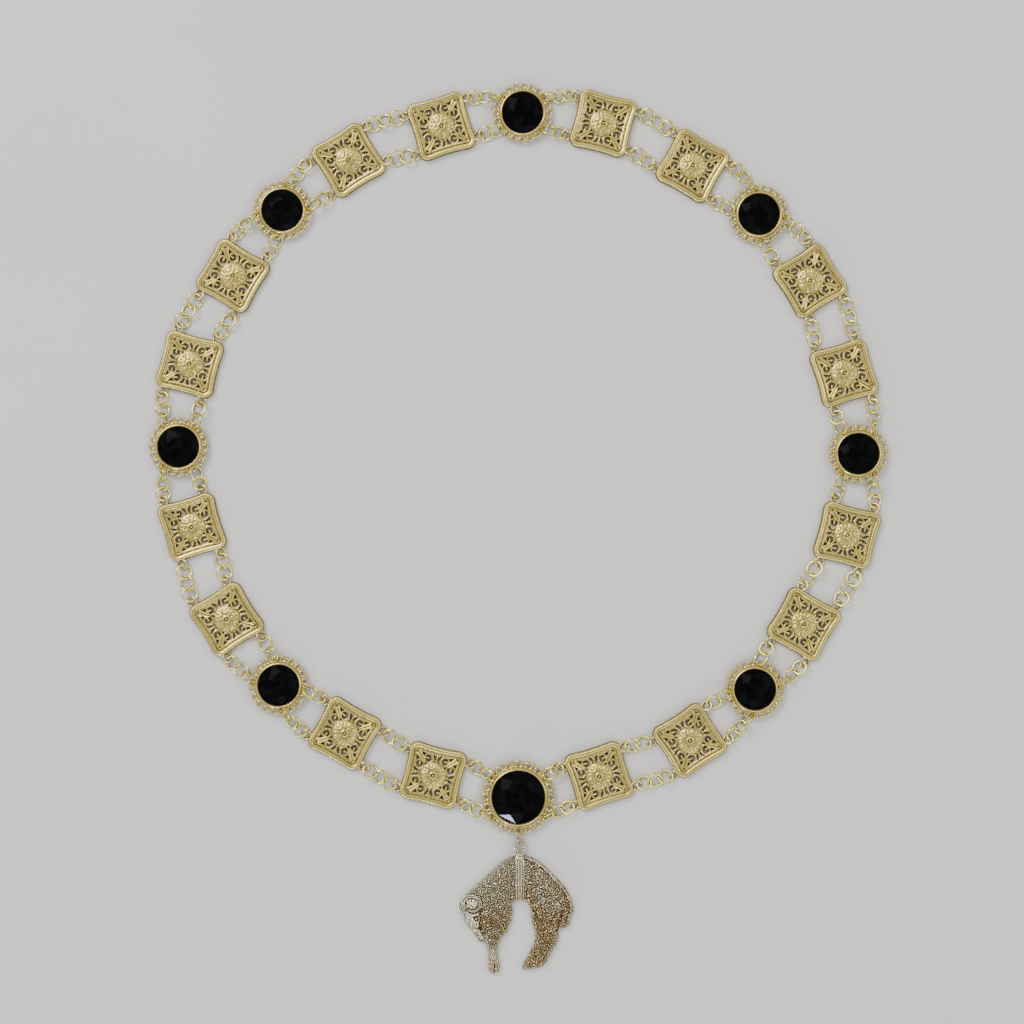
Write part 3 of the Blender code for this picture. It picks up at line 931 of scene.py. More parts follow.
@dataclass(frozen=True)
class Layout:
    """The ring of 24 stations: a setting and then two plates, eight times over."""

    group_count: int = 8
    group_size: int = 3
    large_group: int = 4
    plate_across: float = 27.8
    plate_gap: float = 18.35
    stone: float = 19.2
    large_stone: float = 24.9
    flange: float = 2.9
    large_flange: float = 3.5
    clearance: float = 0.3
    bezel: float = 1.2
    setting_gap: float = 11.0
    large_setting_gap: float = 8.7
    ring_turn: float = 0.5
    stone_back: float = 3.5
    halvings: int = 60
    # Outwards and clockwise in millimetres, and turned clockwise in degrees
    laid: tuple[tuple[float, float, float], ...] = (
        (0.3, 0.4, 0.0),
        (0.6, -0.4, -0.2),
        (-1.5, 0.0, -1.8),
        (-0.3, 0.0, 0.0),
        (0.0, 0.5, -1.4),
        (-1.3, 0.8, -3.1),
        (0.8, 0.4, 0.0),
        (0.7, -0.1, 0.1),
        (-1.9, 0.3, -1.2),
        (-1.1, 0.2, 0.0),
        (-0.6, 0.3, -2.1),
        (-1.3, 0.3, -3.6),
        (3.9, -1.2, 0.0),
        (-1.0, -0.5, -0.8),
        (-2.8, -0.1, -2.6),
        (-1.1, -0.2, 0.0),
        (-0.2, 0.6, -2.1),
        (-0.9, 0.9, -3.2),
        (1.2, 0.0, 0.0),
        (1.4, 0.0, -0.2),
        (-0.9, 0.0, -1.5),
        (-0.2, -0.3, 0.0),
        (-0.1, 0.0, -1.2),
        (-1.5, 0.5, -3.2),
    )

    @property
    def stations(self) -> int:
        """Number of pieces round the ring."""
        return self.group_count * self.group_size

    def stone_radius(self, group: int) -> float:
        """Radius of a group's stone."""
        return (self.large_stone if group == self.large_group else self.stone) / 2

    def setting_radius(self, group: int) -> float:
        """Radius of a group's setting over its scallops."""
        flange = self.large_flange if group == self.large_group else self.flange
        return self.stone_radius(group) + self.clearance + self.bezel + flange

    def half_width(self, station: int) -> float:
        """Half the width along the ring of the piece at a station.

        Args:
            station: Number of the station.

        Returns:
            Half of the width.
        """
        if station % self.group_size:
            return self.plate_across / 2
        return self.setting_radius(station // self.group_size)

    def gap_after(self, station: int) -> float:
        """Gap between the piece at a station and the next one.

        Args:
            station: Number of the station.

        Returns:
            The gap.
        """
        near = station % self.stations, (station + 1) % self.stations
        if all(i % self.group_size for i in near):
            return self.plate_gap
        large = self.large_group * self.group_size in near
        return self.large_setting_gap if large else self.setting_gap

    def radius(self, chords: Sequence[float]) -> float:
        """Radius of the circle that the chords close on, found by halving.

        Args:
            chords: Straight distances between neighbouring pieces.

        Returns:
            The radius.
        """
        low, high = max(chords) / 2, sum(chords)
        for _ in range(self.halvings):
            middle = (low + high) / 2
            turned_by = sum(2 * math.asin(chord / (2 * middle)) for chord in chords)
            low, high = (middle, high) if turned_by > FULL_TURN else (low, middle)
        return low

    def frames(self) -> list[Array]:
        """Place of each piece of the ring.

        A piece lies on the ring's circle at the sum of the turns of the chords before it, moved and
        turned as the table says. The whole is moved so that the large stone lies over its CAD node.

        Returns:
            One place for each station.
        """
        chords = [
            self.half_width(i) + self.half_width((i + 1) % self.stations) + self.gap_after(i)
            for i in range(self.stations)
        ]
        radius = self.radius(chords)
        frames = []
        bearing = math.radians(self.ring_turn)
        for chord, (outwards, along, turned_by) in zip(chords, self.laid):
            heading = turn(2, -bearing)
            frames.append(
                heading @ shift(along, radius + outwards) @ turn(2, -math.radians(turned_by))
            )
            bearing += 2 * math.asin(chord / (2 * radius))
        low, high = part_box(f"stone_{self.large_group + 1}")
        large = frames[self.large_group * self.group_size]
        middle = (low + high) / (2 * MM)
        home = shift(middle.x - large[0, 3], middle.y - large[1, 3], low.z / MM - self.stone_back)
        return [home @ place for place in frames]


@dataclass
class Workshop:
    """Makes the finished pieces from surfaces and puts them on the part."""

    layout: Layout = field(default_factory=Layout)
    materials: dict[str, Material] = field(default_factory=dict)
    total: int = 0

    def material(self, finish: Any) -> Material:
        """The material of a finish, made once.

        Args:
            finish: The finish.

        Returns:
            Its material.
        """
        if finish.name not in self.materials:
            self.materials[finish.name] = finish.material()
        return self.materials[finish.name]

    def add(self, mesh: Mesh, slot: Slot, *nodes: str) -> bpy.types.Object:
        """Puts a mesh on the part.

        Args:
            mesh: The mesh, at its place, whose name the piece takes.
            slot: The record's slot; not used.
            nodes: CAD nodes that the piece stands for.

        Returns:
            The new piece.
        """
        piece = bpy.data.objects.new(mesh.name, mesh)
        bpy.context.scene.collection.objects.link(piece)
        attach(piece, "root")
        if nodes:
            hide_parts(*nodes)
        triangles = sum(polygon.loop_total - 2 for polygon in mesh.polygons)
        self.total += triangles
        log.info("%s: %d triangles", piece.name, triangles)
        return piece

    def add_copy(
        self, mesh: Mesh, name: str, place: Array, slot: Slot, *nodes: str
    ) -> bpy.types.Object:
        """Puts a copy of a mesh on the part, at a place in millimetres.

        Args:
            mesh: The mesh, in its own frame.
            name: Name of the piece.
            place: Its place.
            slot: The record's slot.
            nodes: CAD nodes that the piece stands for.

        Returns:
            The new piece.
        """
        copy = mesh.copy()
        copy.name = name
        flat = place.copy()
        flat[:3, 3] *= MM
        copy.transform(Matrix(flat.tolist()))
        return self.add(copy, slot, *nodes)


# Plates


@dataclass
class PiercedPlate:
    """Cast square plate: a milled rim, a sunk field of pierced scrolls and a flowered dome.

    The pattern is the same in its eight half corners. Along and beside are the distances along and
    across the nearest diagonal, and out and off those from the middle and from the middle line of
    the nearest side. The back is hollow under the field, so that the gaps open into a dark space.
    """

    across: float = 27.8
    hollow: float = 0.5
    corner_radius: float = 4.4
    spacing: float = 0.22
    rim_insets: tuple[float, ...] = (0.0, 0.25, 0.7, 1.3, 2.0, 2.4, 2.62, 2.85, 3.3, 3.75, 4.1, 4.5)
    rim_heights: tuple[float, ...] = (2.2, 2.7, 3.15, 3.3, 3.15, 2.95, 2.6, 2.85, 2.85, 2.75, 2.5, 2.22)
    mill_pitch: float = 1.05
    mill_depth: float = 0.1
    mill_slant: float = 0.5
    mill_band: Band = (-0.1, 0.15, 0.9, 1.5)
    mill_edge: Pair = (0.3, 0.8)
    fine_pitch: float = 0.9
    fine_depth: float = 0.025
    fine_slant: float = 0.7
    fine_band: Band = (2.8, 3.0, 3.5, 3.8)
    rim_width: float = 4.0
    field_height: float = 2.2
    field_half: float = 9.4
    roof: float = 0.6
    roof_half: float = 10.05
    roof_corner: float = 1.4
    eye: Pair = (8.1, 2.4)
    eye_radius: float = 0.64
    crescent: float = 1.72
    crescent_mouth: float = math.radians(52)
    eye_height: float = 0.9
    scroll_radius: float = 2.1
    scroll_half: float = 0.52
    scroll_height: float = 0.5
    scroll_start: Pair = (4.9, 5.7)
    lobe_shares: Pair = (0.52, 0.6)
    bar_run: Pair = (7.7, 13.4)
    bar_half_widths: Pair = (0.95, 1.5)
    bar_ends: Band = (7.2, 7.9, 13.3, 13.7)
    bar_margin: float = 0.1
    slit: tuple[Pair, Pair] = ((9.4, 1.72), (7.5, 0.66))
    slit_width: float = 0.95
    diamond: float = 6.75
    diamond_half: float = 0.62
    diamond_slopes: Pair = (0.85, 1.1)
    corner_gap_start: float = 9.4
    corner_gap_rim: float = 0.2
    corner_gap_scroll: float = 0.22
    stem: Stroke = Stroke((8.1, 2.4), (9.5, 1.2), 0.5, 0.6)
    tongue: Stroke = Stroke((9.2, 0.0), (7.0, 0.0), 0.52, 0.4)
    ogee: Stroke = Stroke((9.7, 2.75), (7.0, 1.6), 0.5, 0.42)
    bead: Pair = (9.45, 0.0)
    bead_radius: float = 0.66
    bead_height: float = 0.8
    dome_radius: float = 6.0
    dome_radii: tuple[float, ...] = (0.0, 0.45, 0.7, 0.95, 1.15, 1.4, 1.7, 3.0, 4.3, 5.3, 6.0, 6.6)
    dome_heights: tuple[float, ...] = (3.9, 3.75, 3.2, 3.25, 3.75, 3.6, 3.45, 3.4, 3.15, 2.8, 2.5, 2.2)
    petals: int = 8
    crease_band: Band = (1.5, 2.4, 4.9, 6.0)
    crease_depth: float = 0.24
    scale_height: float = 0.17
    scale_rows: tuple[Pair, Pair] = ((4.5, 0.8), (2.75, 0.85))
    dome_margin: float = 0.3
    sheet_margin: float = 1.0

    def outline(self, x: Array, y: Array) -> Array:
        """Distance inside the outline: a rounded square whose sides are drawn in at their middles.

        Args:
            x: X of each point.
            y: Y of each point.

        Returns:
            The distances, below 0 outside.
        """
        straight = self.across / 2 - self.corner_radius
        drawn_x = self.hollow * (1 - np.clip(np.abs(y) / straight, 0, 1) ** 2)
        drawn_y = self.hollow * (1 - np.clip(np.abs(x) / straight, 0, 1) ** 2)
        wide = np.abs(x) + drawn_x - straight
        tall = np.abs(y) + drawn_y - straight
        outer = np.hypot(np.maximum(wide, 0), np.maximum(tall, 0))
        return self.corner_radius - outer - np.minimum(np.maximum(wide, tall), 0)

    @staticmethod
    def folded(x: Array, y: Array) -> tuple[Array, Array, Array, Array]:
        """Places in the pattern's half corner, which the class describes.

        Args:
            x: X of each point.
            y: Y of each point.

        Returns:
            Distances along, beside, out and off.
        """
        wide, tall = np.abs(x), np.abs(y)
        along, beside = (wide + tall) / math.sqrt(2), np.abs(wide - tall) / math.sqrt(2)
        return along, beside, np.maximum(wide, tall), np.minimum(wide, tall)

    def perimeter(self, x: Array, y: Array) -> Array:
        """Distance along the rim from the nearest side's middle: off, then round the corner's arc.

        Args:
            x: X of each point.
            y: Y of each point.

        Returns:
            The distances.
        """
        straight = self.across / 2 - self.corner_radius
        _, _, out, off = self.folded(x, y)
        angle = np.arctan2(off - straight, np.maximum(out - straight, 0.01))
        return np.where(off < straight, off, straight + self.corner_radius * angle)

    def crescent_cut(self, along: Array, beside: Array) -> Array:
        """Distance inside the crescent round an eye, which is open towards the corner and the bar.

        Args:
            along: Distance along the nearest diagonal.
            beside: Distance from it.

        Returns:
            The distances, below 0 outside.
        """
        away = from_point(along, beside, self.eye)
        heading = np.arctan2(beside - self.eye[1], along - self.eye[0])
        off_mouth = np.abs((heading + math.pi / 4 + math.pi) % FULL_TURN - math.pi)
        sector = (off_mouth - self.crescent_mouth) * away
        return np.minimum(np.minimum(away - self.eye_radius, self.crescent - away), sector)

    def bar_half(self, along: Array) -> Array:
        """Half width of the corner's bar, which widens outwards."""
        return np.interp(along, self.bar_run, self.bar_half_widths)

    def gaps(self, x: Array, y: Array) -> Array:
        """Distance inside the nearest of the 28 gaps.

        Args:
            x: X of each point.
            y: Y of each point.

        Returns:
            The distances, below 0 outside.
        """
        along, beside, out, off = self.folded(x, y)
        crescent = self.crescent_cut(along, beside)
        slit = self.slit_width / 2 - from_line(out, off, *self.slit)
        steep, wide = self.diamond_slopes
        diamond = self.diamond_half - steep * np.abs(along - self.diamond) - beside * wide
        off_bar = beside - self.bar_half(along) - self.bar_margin
        corner = np.minimum(self.field_half + self.corner_gap_rim - out, off_bar)
        scroll = from_point(along, beside, self.eye) - self.scroll_radius - self.corner_gap_scroll
        corner = np.minimum(np.minimum(corner, scroll), along - self.corner_gap_start)
        return np.maximum.reduce((crescent, slit, diamond, corner))

    def height(self, x: Array, y: Array) -> Array:
        """Height of the top.

        The rim follows its profile over the distance inside the outline, with slanted cuts. In the
        field the highest of the bars, scrolls, eyes and beads holds. The dome follows its profile
        over the distance from the middle, with shallow creases between its petals.

        Args:
            x: X of each point.
            y: Y of each point.

        Returns:
            The heights.
        """
        inset = self.outline(x, y)
        along, beside, out, off = self.folded(x, y)
        top = np.interp(inset, self.rim_insets, self.rim_heights)
        round_rim = self.perimeter(x, y)
        mill = np.cos(FULL_TURN * (round_rim + self.mill_slant * inset) / self.mill_pitch)
        top = top + self.mill_depth * mill * band(inset, *self.mill_band)
        fine = np.cos(FULL_TURN * (round_rim - self.fine_slant * inset) / self.fine_pitch)
        top = top + self.fine_depth * fine * band(inset, *self.fine_band)

        half = self.bar_half(along)
        place, reach = self.lobe_shares
        lobes = half_round(beside - place * half, reach * half)
        on_bar = band(along, *self.bar_ends) * (beside < half + self.bar_margin)
        top = np.maximum(top, (self.field_height + lobes) * on_bar)
        away = from_point(along, beside, self.eye)
        eye = half_round(away, self.eye_radius) * self.eye_height
        stem = self.stem.ridge(along, beside)
        scroll = half_round(away - self.scroll_radius, self.scroll_half) * self.scroll_height
        scroll = scroll * rise(along, *self.scroll_start)
        bead = half_round(from_point(out, off, self.bead), self.bead_radius) * self.bead_height
        strokes = self.tongue.ridge(out, off), self.ogee.ridge(out, off)
        worked = np.maximum.reduce((eye, stem, scroll, bead, *strokes)) + self.field_height
        top = np.where(inset > self.rim_width, np.maximum(top, worked), top)

        from_middle = np.hypot(x, y)
        petal = np.abs(np.cos(self.petals / 2 * np.arctan2(y, x)))
        dome = np.interp(from_middle, self.dome_radii, self.dome_heights)
        crease = (1 - petal**0.5) * band(from_middle, *self.crease_band)
        around = np.arctan2(y, x)
        (outer, outer_half), (inner, inner_half) = self.scale_rows
        scales = np.cos(2 * self.petals * around) * half_round(from_middle - outer, outer_half)
        within = half_round(from_middle - inner, inner_half)
        scales = scales + np.cos(self.petals * around + math.pi) * within
        dome = dome - self.crease_depth * crease + self.scale_height * scales
        on_dome = from_middle < self.dome_radius + self.dome_margin
        return np.where(on_dome, np.maximum(dome, self.field_height), top)

    def cavity(self) -> Hollow:
        """The hollow back: a rounded square of eight points a corner, under the field.

        Returns:
            The hollow.
        """
        angle = np.linspace(0, math.pi / 2, 8)[None, :] + np.arange(4)[:, None] * math.pi / 2
        straight = self.roof_half - self.roof_corner
        middle = np.array(((1, 1), (-1, 1), (-1, -1), (1, -1)))[:, None] * straight
        arc = np.stack((np.cos(angle), np.sin(angle)), axis=-1) * self.roof_corner
        return Hollow((middle + arc).reshape(-1, 2), self.roof)

    def surface(self) -> Surface:
        """The whole plate without its loops.

        Returns:
            The surface, in the plate's own frame.
        """
        half = self.across / 2 + self.sheet_margin
        sheet = Relief((-half, -half), (half, half), self.spacing)
        x, y = sheet.grid()
        inset = self.outline(x, y)
        mill = np.cos(FULL_TURN * self.perimeter(x, y) / self.mill_pitch)
        edge = inset + self.mill_depth * mill * (1 - rise(inset, *self.mill_edge))
        inside = np.minimum(edge, -self.gaps(x, y))
        return sheet.surface(inside, self.height(x, y), 0.0, self.cavity())


# Strands of loose links


@dataclass
class Strands:
    """Loops soldered to the plates, and the links between them and to the settings' galleries."""

    wire: float = 1.2
    slack: float = 0.16
    link_limits: Pair = (3.05, 3.7)
    hook_radius: float = 3.45
    loop_radius: float = 2.25
    loop_steps: int = 24
    loop_standoff: float = 1.6
    loop_offset: float = 9.4
    roll: float = math.radians(25)
    roll_spread: float = math.radians(2.0)
    lead_share: float = 0.68
    outer_count: int = 3
    inner_count: int = 2
    hook_turn: float = math.radians(39)
    hook_inset: float = 2.15
    hook_rolls: Pair = (math.radians(72), math.radians(48))
    hook_height: float = 2.7
    climb: float = math.radians(13)

    def rest_height(self, radius: float, roll: float) -> float:
        """Height of a ring's middle when it rests on its lowest side: r sin(roll) + half the wire."""
        return radius * abs(math.sin(roll)) + self.wire / 2

    def link_radius(self, pitch: float) -> float:
        """Radius of links at this pitch, which hang taut: half of the pitch and a wire with slack."""
        low, high = self.link_limits
        return min(max((pitch + self.wire + self.slack) / 2, low), high)

    def loop_place(self, plate: Array, side: int, strand: int) -> Array:
        """Middle of one of a plate's loops.

        Args:
            plate: The plate's place.
            side: -1 or +1 along the strand.
            strand: -1 for the inner strand and +1 for the outer one.

        Returns:
            The middle.
        """
        height = self.rest_height(self.loop_radius, self.roll)
        out = PiercedPlate.across / 2 + self.loop_standoff
        return (plate @ np.array((side * out, strand * self.loop_offset, height, 1.0)))[:3]

    def loops(self, plate: Array, rolls: dict[tuple[int, int], float]) -> Surface:
        """The four loops of a plate.

        Args:
            plate: The plate's place.
            rolls: Roll of each loop about the strand, by side and strand.

        Returns:
            The loops as one surface.
        """
        parts = []
        heading = math.atan2(plate[1, 0], plate[0, 0])
        for (side, strand), roll in rolls.items():
            middle = self.loop_place(plate, side, strand)
            place = shift(*middle) @ turn(2, heading) @ turn(0, roll)
            parts.append(ring(self.loop_radius, self.wire, self.loop_steps).placed(place))
        return Surface.joined(parts)

    def link(self, radius: float, middle: Array, run: Array, climb: float, roll: float) -> Surface:
        """One link at its place.

        Args:
            radius: Radius of the link.
            middle: Its middle.
            run: Way that it heads.
            climb: Angle by which it climbs along its run.
            roll: Angle by which it is rolled about its run.

        Returns:
            The link.
        """
        heading = math.atan2(run[1], run[0])
        place = shift(*middle) @ turn(2, heading) @ turn(1, -climb) @ turn(0, roll)
        return ring(radius, self.wire).placed(place)

    def rolls(self, spread: Array) -> list[float]:
        """Rolls of links that lean one way and the other in turn, each a little different."""
        return [
            (-1) ** i * (self.roll + float(share) * self.roll_spread)
            for i, share in enumerate(spread)
        ]

    def between_plates(self, start: Array, end: Array, spread: Array) -> Surface:
        """Links between two plates' loops, at even steps.

        With the lead from a loop's middle to the first link's as a share of the pitch, the pitch is
        the whole distance over (count - 1 + 2 shares).

        Args:
            start: Middle of the first plate's loop.
            end: Middle of the second plate's loop.
            spread: Small differences of roll, one for each link.

        Returns:
            The links as one surface.
        """
        run = end - start
        length = math.hypot(run[0], run[1])
        pitch = length / (len(spread) - 1 + 2 * self.lead_share)
        radius = self.link_radius(pitch)
        parts = []
        for i, roll in enumerate(self.rolls(spread)):
            middle = start + run / length * pitch * (self.lead_share + i)
            middle[2] = self.rest_height(radius, roll)
            parts.append(self.link(radius, middle, run, 0.0, roll))
        return Surface.joined(parts)

    def hooked(
        self, setting: Array, radius: float, side: int, strand: int, start: Array
    ) -> tuple[Array, Array, float]:
        """Place of the link that hooks through a setting's gallery.

        Its wire passes the gallery's middle at the hook's height, so the link's own middle lies
        towards the plate by the root of its radius squared less the slanted drop squared.

        Args:
            setting: The setting's place.
            radius: The setting's radius over its scallops.
            side: Side of the setting, -1 or +1.
            strand: -1 for the inner strand and +1 for the outer one.
            start: Middle of the plate's loop.

        Returns:
            The link's middle, its way to the plate and its roll.
        """
        roll = self.hook_rolls[strand < 0]
        reach = radius - self.hook_inset
        out = reach * math.cos(self.hook_turn) * side
        across = reach * math.sin(self.hook_turn) * strand
        hook = (setting @ np.array((out, across, 0.0, 1.0)))[:3]
        way = (start - hook) * (1, 1, 0)
        way = way / np.linalg.norm(way)
        link = self.hook_radius
        height = self.rest_height(link, roll)
        drop = (height - self.hook_height) / math.sin(roll)
        middle = hook + way * math.sqrt(link**2 - drop**2)
        middle[2] = height
        return middle, way, roll

    def to_setting(self, start: Array, hooked: tuple[Array, Array, float], spread: Array) -> Surface:
        """Links from a plate's loop to the setting, the last one hooked.

        Args:
            start: Middle of the plate's loop.
            hooked: Middle, way to the plate and roll of the hooked link.
            spread: Small differences of roll, one for each link.

        Returns:
            The links as one surface.
        """
        last, way, hook_roll = hooked
        count = len(spread)
        run = (last - start) * (1, 1, 0)
        length = math.hypot(run[0], run[1])
        pitch = length / (count - 1 + self.lead_share)
        radius = self.link_radius(pitch)
        rolls = self.rolls(spread)
        parts = []
        for i, roll in enumerate(rolls[:-1]):
            middle = start + run / length * pitch * (self.lead_share + i)
            climb = self.climb if i == count - 2 else 0.0
            middle[2] = self.rest_height(radius, roll) + radius * math.sin(climb) / 2
            parts.append(self.link(radius, middle, run, climb, roll))
        roll = math.copysign(hook_roll, -rolls[-1])
        parts.append(self.link(self.hook_radius, last, -way, 0.0, roll))
        return Surface.joined(parts)


# Settings and stones


@dataclass
class Setting:
    """Cup, bezel and pierced gallery of scallops round a stone."""

    radius: float
    seat: float
    bezel: float = 1.2
    scallops: int = 20
    spacing: float = 0.2
    back: float = 2.2
    flange_top: float = 3.2
    bezel_top: float = 5.3
    foot_inset: float = 4.2
    arc_share: float = 0.43
    steps: int = 120
    sheet_margin: float = 0.6
    curl: Pair = (0.42, 0.46)
    curl_cut: float = 0.24
    hole_share: float = 0.5
    slit_half: float = 0.2
    slit_share: float = 0.55
    bead_in: float = 0.17
    neck_in: float = 0.4
    small_hole_in: float = 0.58
    stem_in: float = 0.84
    base_share: float = 0.38
    base_under: float = 0.5
    bead_half: float = 0.56
    neck_half: float = 0.66
    small_hole_half: float = 0.24
    sunk: float = 0.45
    collar_out: float = 0.35
    rim_place: float = 0.76
    rim_end: float = 0.75
    wire_share: float = 0.3
    wire_heights: Pair = (0.7, 0.62)
    cusp_heights: Band = (0.66, 0.45, 0.6, 0.55)
    cusp_reaches: Band = (0.58, 0.5, 0.6, 0.5)

    @property
    def pitch(self) -> float:
        """Angle from one scallop to the next."""
        return FULL_TURN / self.scallops

    @property
    def arc(self) -> float:
        """Radius of a scallop's arc, so that neighbours nearly touch: a = share (R - a) pitch."""
        share = self.arc_share * self.pitch
        return self.radius * share / (1 + share)

    def cell(self, x: Array, y: Array) -> tuple[Array, Array, Array]:
        """Distance across and along the nearest scallop's axis, and distance from the middle.

        Args:
            x: X of each point.
            y: Y of each point.

        Returns:
            Distances across, along and away.
        """
        away = np.hypot(x, y)
        angle = np.arctan2(y, x)
        off = (angle + self.pitch / 2) % self.pitch - self.pitch / 2
        return np.abs(away * np.sin(off)), away * np.cos(off), away

    def between(self, across: Array, along: Array, radius: float) -> Array:
        """Distance from the point at this radius halfway between two scallops."""
        half = self.pitch / 2
        return from_point(across, along, (radius * math.sin(half), radius * math.cos(half)))

    def fields(self, x: Array, y: Array) -> tuple[Array, Array]:
        """Distance inside the gallery's metal, and the height of its top.

        A scallop is a disc with a heart cut out of it: a round hole less the two curled ends. A bead
        and a small hole lie between neighbours, and solid metal runs on from the bezel.

        Args:
            x: X of each point.
            y: Y of each point.

        Returns:
            The distances, below 0 outside, and the heights.
        """
        across, along, away = self.cell(x, y)
        arc = self.arc
        middle = self.radius - arc
        edge = self.seat + self.bezel
        width = self.radius - edge
        from_arc = from_point(across, along, (0.0, middle))
        curl = from_point(across, along, (self.curl[0] * arc, middle - self.curl[1] * arc))
        cusp_bead, cusp_neck, cusp_hole, cusp_stem = (
            self.between(across, along, self.radius - share * width)
            for share in (self.bead_in, self.neck_in, self.small_hole_in, self.stem_in)
        )
        base = edge + self.base_share * width - away
        bead, neck = self.bead_half - cusp_bead, self.neck_half - cusp_neck
        metal = np.maximum.reduce((arc - from_arc, bead, neck, base))
        metal = np.minimum(metal, away - edge + self.base_under)
        slit_end = (0.0, middle - self.slit_share * arc)
        slit = self.slit_half - from_line(across, along, (0.0, middle), slit_end)
        hole = np.maximum(self.hole_share * arc - from_arc, slit)
        hole = np.minimum(hole, curl - self.curl_cut * arc)
        hole = np.maximum(hole, self.small_hole_half - cusp_hole)
        inside = np.minimum(metal, -hole)

        top = self.flange_top - self.sunk
        reach = self.wire_share * arc
        wire = half_round(from_arc - self.rim_place * arc, reach) * self.wire_heights[0]
        wire = wire * (along > middle - self.rim_end * arc)
        curls = half_round(curl, reach) * self.wire_heights[1]
        raised = [wire, curls]
        distances = cusp_bead, cusp_neck, away - edge - self.collar_out, cusp_stem
        for distance, reach, over in zip(distances, self.cusp_reaches, self.cusp_heights):
            raised.append(half_round(distance, reach) * over)
        height = top + np.maximum.reduce(raised)
        return inside, height

    def gallery(self) -> Surface:
        """The gallery, as a pierced sheet.

        Returns:
            The gallery, in the setting's own frame.
        """
        half = self.radius + self.sheet_margin
        sheet = Relief((-half, -half), (half, half), self.spacing)
        inside, height = self.fields(*sheet.grid())
        return sheet.surface(inside, height, self.back)

    def cup(self) -> Surface:
        """Foot, seat and bezel, turned as one.

        Returns:
            The closed surface, in the setting's own frame.
        """
        edge = self.seat + self.bezel
        foot = self.radius - self.foot_inset
        floor = self.flange_top - 0.15
        profile = (
            (0.0, 0.0),
            (foot - 0.15, 0.0),
            (foot, 0.15),
            (foot, self.back - 0.3),
            (edge + 0.05, self.back + 0.1),
            (edge + 0.2, self.flange_top - 0.1),
            (edge + 0.16, self.flange_top + 0.3),
            (edge + 0.04, self.flange_top + 0.85),
            (edge - 0.14, self.flange_top + 1.3),
            (edge - 0.38, self.bezel_top - 0.42),
            (edge - 0.66, self.bezel_top - 0.17),
            (edge - 1.0, self.bezel_top),
            (self.seat + 0.06, self.bezel_top - 0.03),
            (self.seat - 0.05, self.bezel_top - 0.2),
            (self.seat - 0.04, self.bezel_top - 0.5),
            (self.seat, self.bezel_top - 0.8),
            (self.seat, floor),
            (0.0, floor),
        )
        return turned(profile, self.steps)


@dataclass
class CutStone:
    """Round stone: a table, eight stars, eight kites and eight broad facets down to the girdle."""

    radius: float
    crown: float
    phase: float
    back: float = 3.5
    girdle: float = 4.9
    table_share: float = 0.50
    middle_share: float = 0.70
    back_share: float = 0.90
    girdle_low: float = 0.85
    sides: int = 8
    steps: int = 96
    flat_angle: float = math.radians(1.0)
    sharp_angle: float = math.radians(6.0)

    def points(self) -> Array:
        """The stone's corners.

        A kite is flat, so its side corners lie at the height that its middle line has at their
        distance. A broad facet's plane runs on to the round girdle, below its two corners.

        Returns:
            The corners, one in a row.
        """
        step = FULL_TURN / self.sides
        half = step / 2
        table = self.girdle + self.crown
        fall = (self.middle_share * math.cos(half) - self.table_share) / (1 - self.table_share)
        middle = table - fall * self.crown
        slope = (self.girdle - middle) / (math.cos(half) - self.middle_share)
        angle = np.arange(self.steps) * FULL_TURN / self.steps
        off = (angle + half) % step - half
        rim = self.girdle + slope * (np.cos(off) - math.cos(half))
        eighth = np.arange(self.sides) * step
        rows = (
            (self.table_share, eighth + half, table),
            (self.middle_share, eighth, middle),
            (1.0, angle, rim),
            (1.0, angle, self.girdle - self.girdle_low),
            (self.back_share, angle, self.back),
        )
        corners = []
        for share, turned_by, height in rows:
            out, around = share * self.radius, turned_by + self.phase
            corners.append(as_points(out * np.cos(around), out * np.sin(around), height))
        return np.concatenate(corners)

    def mesh(self, name: str, place: Array, material: Material) -> Mesh:
        """The hull of the corners, with its flat facets each as one face.

        Args:
            name: The mesh's name.
            place: The stone's place.
            material: Its only material.

        Returns:
            The mesh, in metres.
        """
        points = self.points() @ place[:3, :3].T + place[:3, 3]
        shape = bmesh.new()
        for point in (points * MM).tolist():
            shape.verts.new(point)
        hull = bmesh.ops.convex_hull(shape, input=shape.verts)
        spare = [item for item in hull["geom_interior"] if isinstance(item, bmesh.types.BMVert)]
        bmesh.ops.delete(shape, geom=spare, context="VERTS")
        bmesh.ops.dissolve_limit(
            shape, angle_limit=self.flat_angle, verts=shape.verts, edges=shape.edges
        )
        mesh = bpy.data.meshes.new(name)
        shape.to_mesh(mesh)
        shape.free()
        mesh.materials.append(material)
        mesh.shade_smooth()
        mesh.set_sharp_from_angle(angle=self.sharp_angle)
        return mesh


# Pendant


@dataclass(frozen=True)
class Mass:
    """Rounded mass of the body: middle, half length and half width, its turn and how far it swells."""

    x: float
    y: float
    half_length: float
    half_width: float
    turned_by: float
    swell: float

    def swelling(self, x: Array, y: Array) -> Array:
        """Swell times (1 - q) squared, with q the square of the distance in the ellipse's measure.

        Args:
            x: X of each point.
            y: Y of each point.

        Returns:
            The swell over each point.
        """
        angle = math.radians(self.turned_by)
        along = (x - self.x) * math.cos(angle) + (y - self.y) * math.sin(angle)
        beside = (y - self.y) * math.cos(angle) - (x - self.x) * math.sin(angle)
        q = (along / self.half_length) ** 2 + (beside / self.half_width) ** 2
        return self.swell * np.clip(1 - q, 0, 1) ** 2


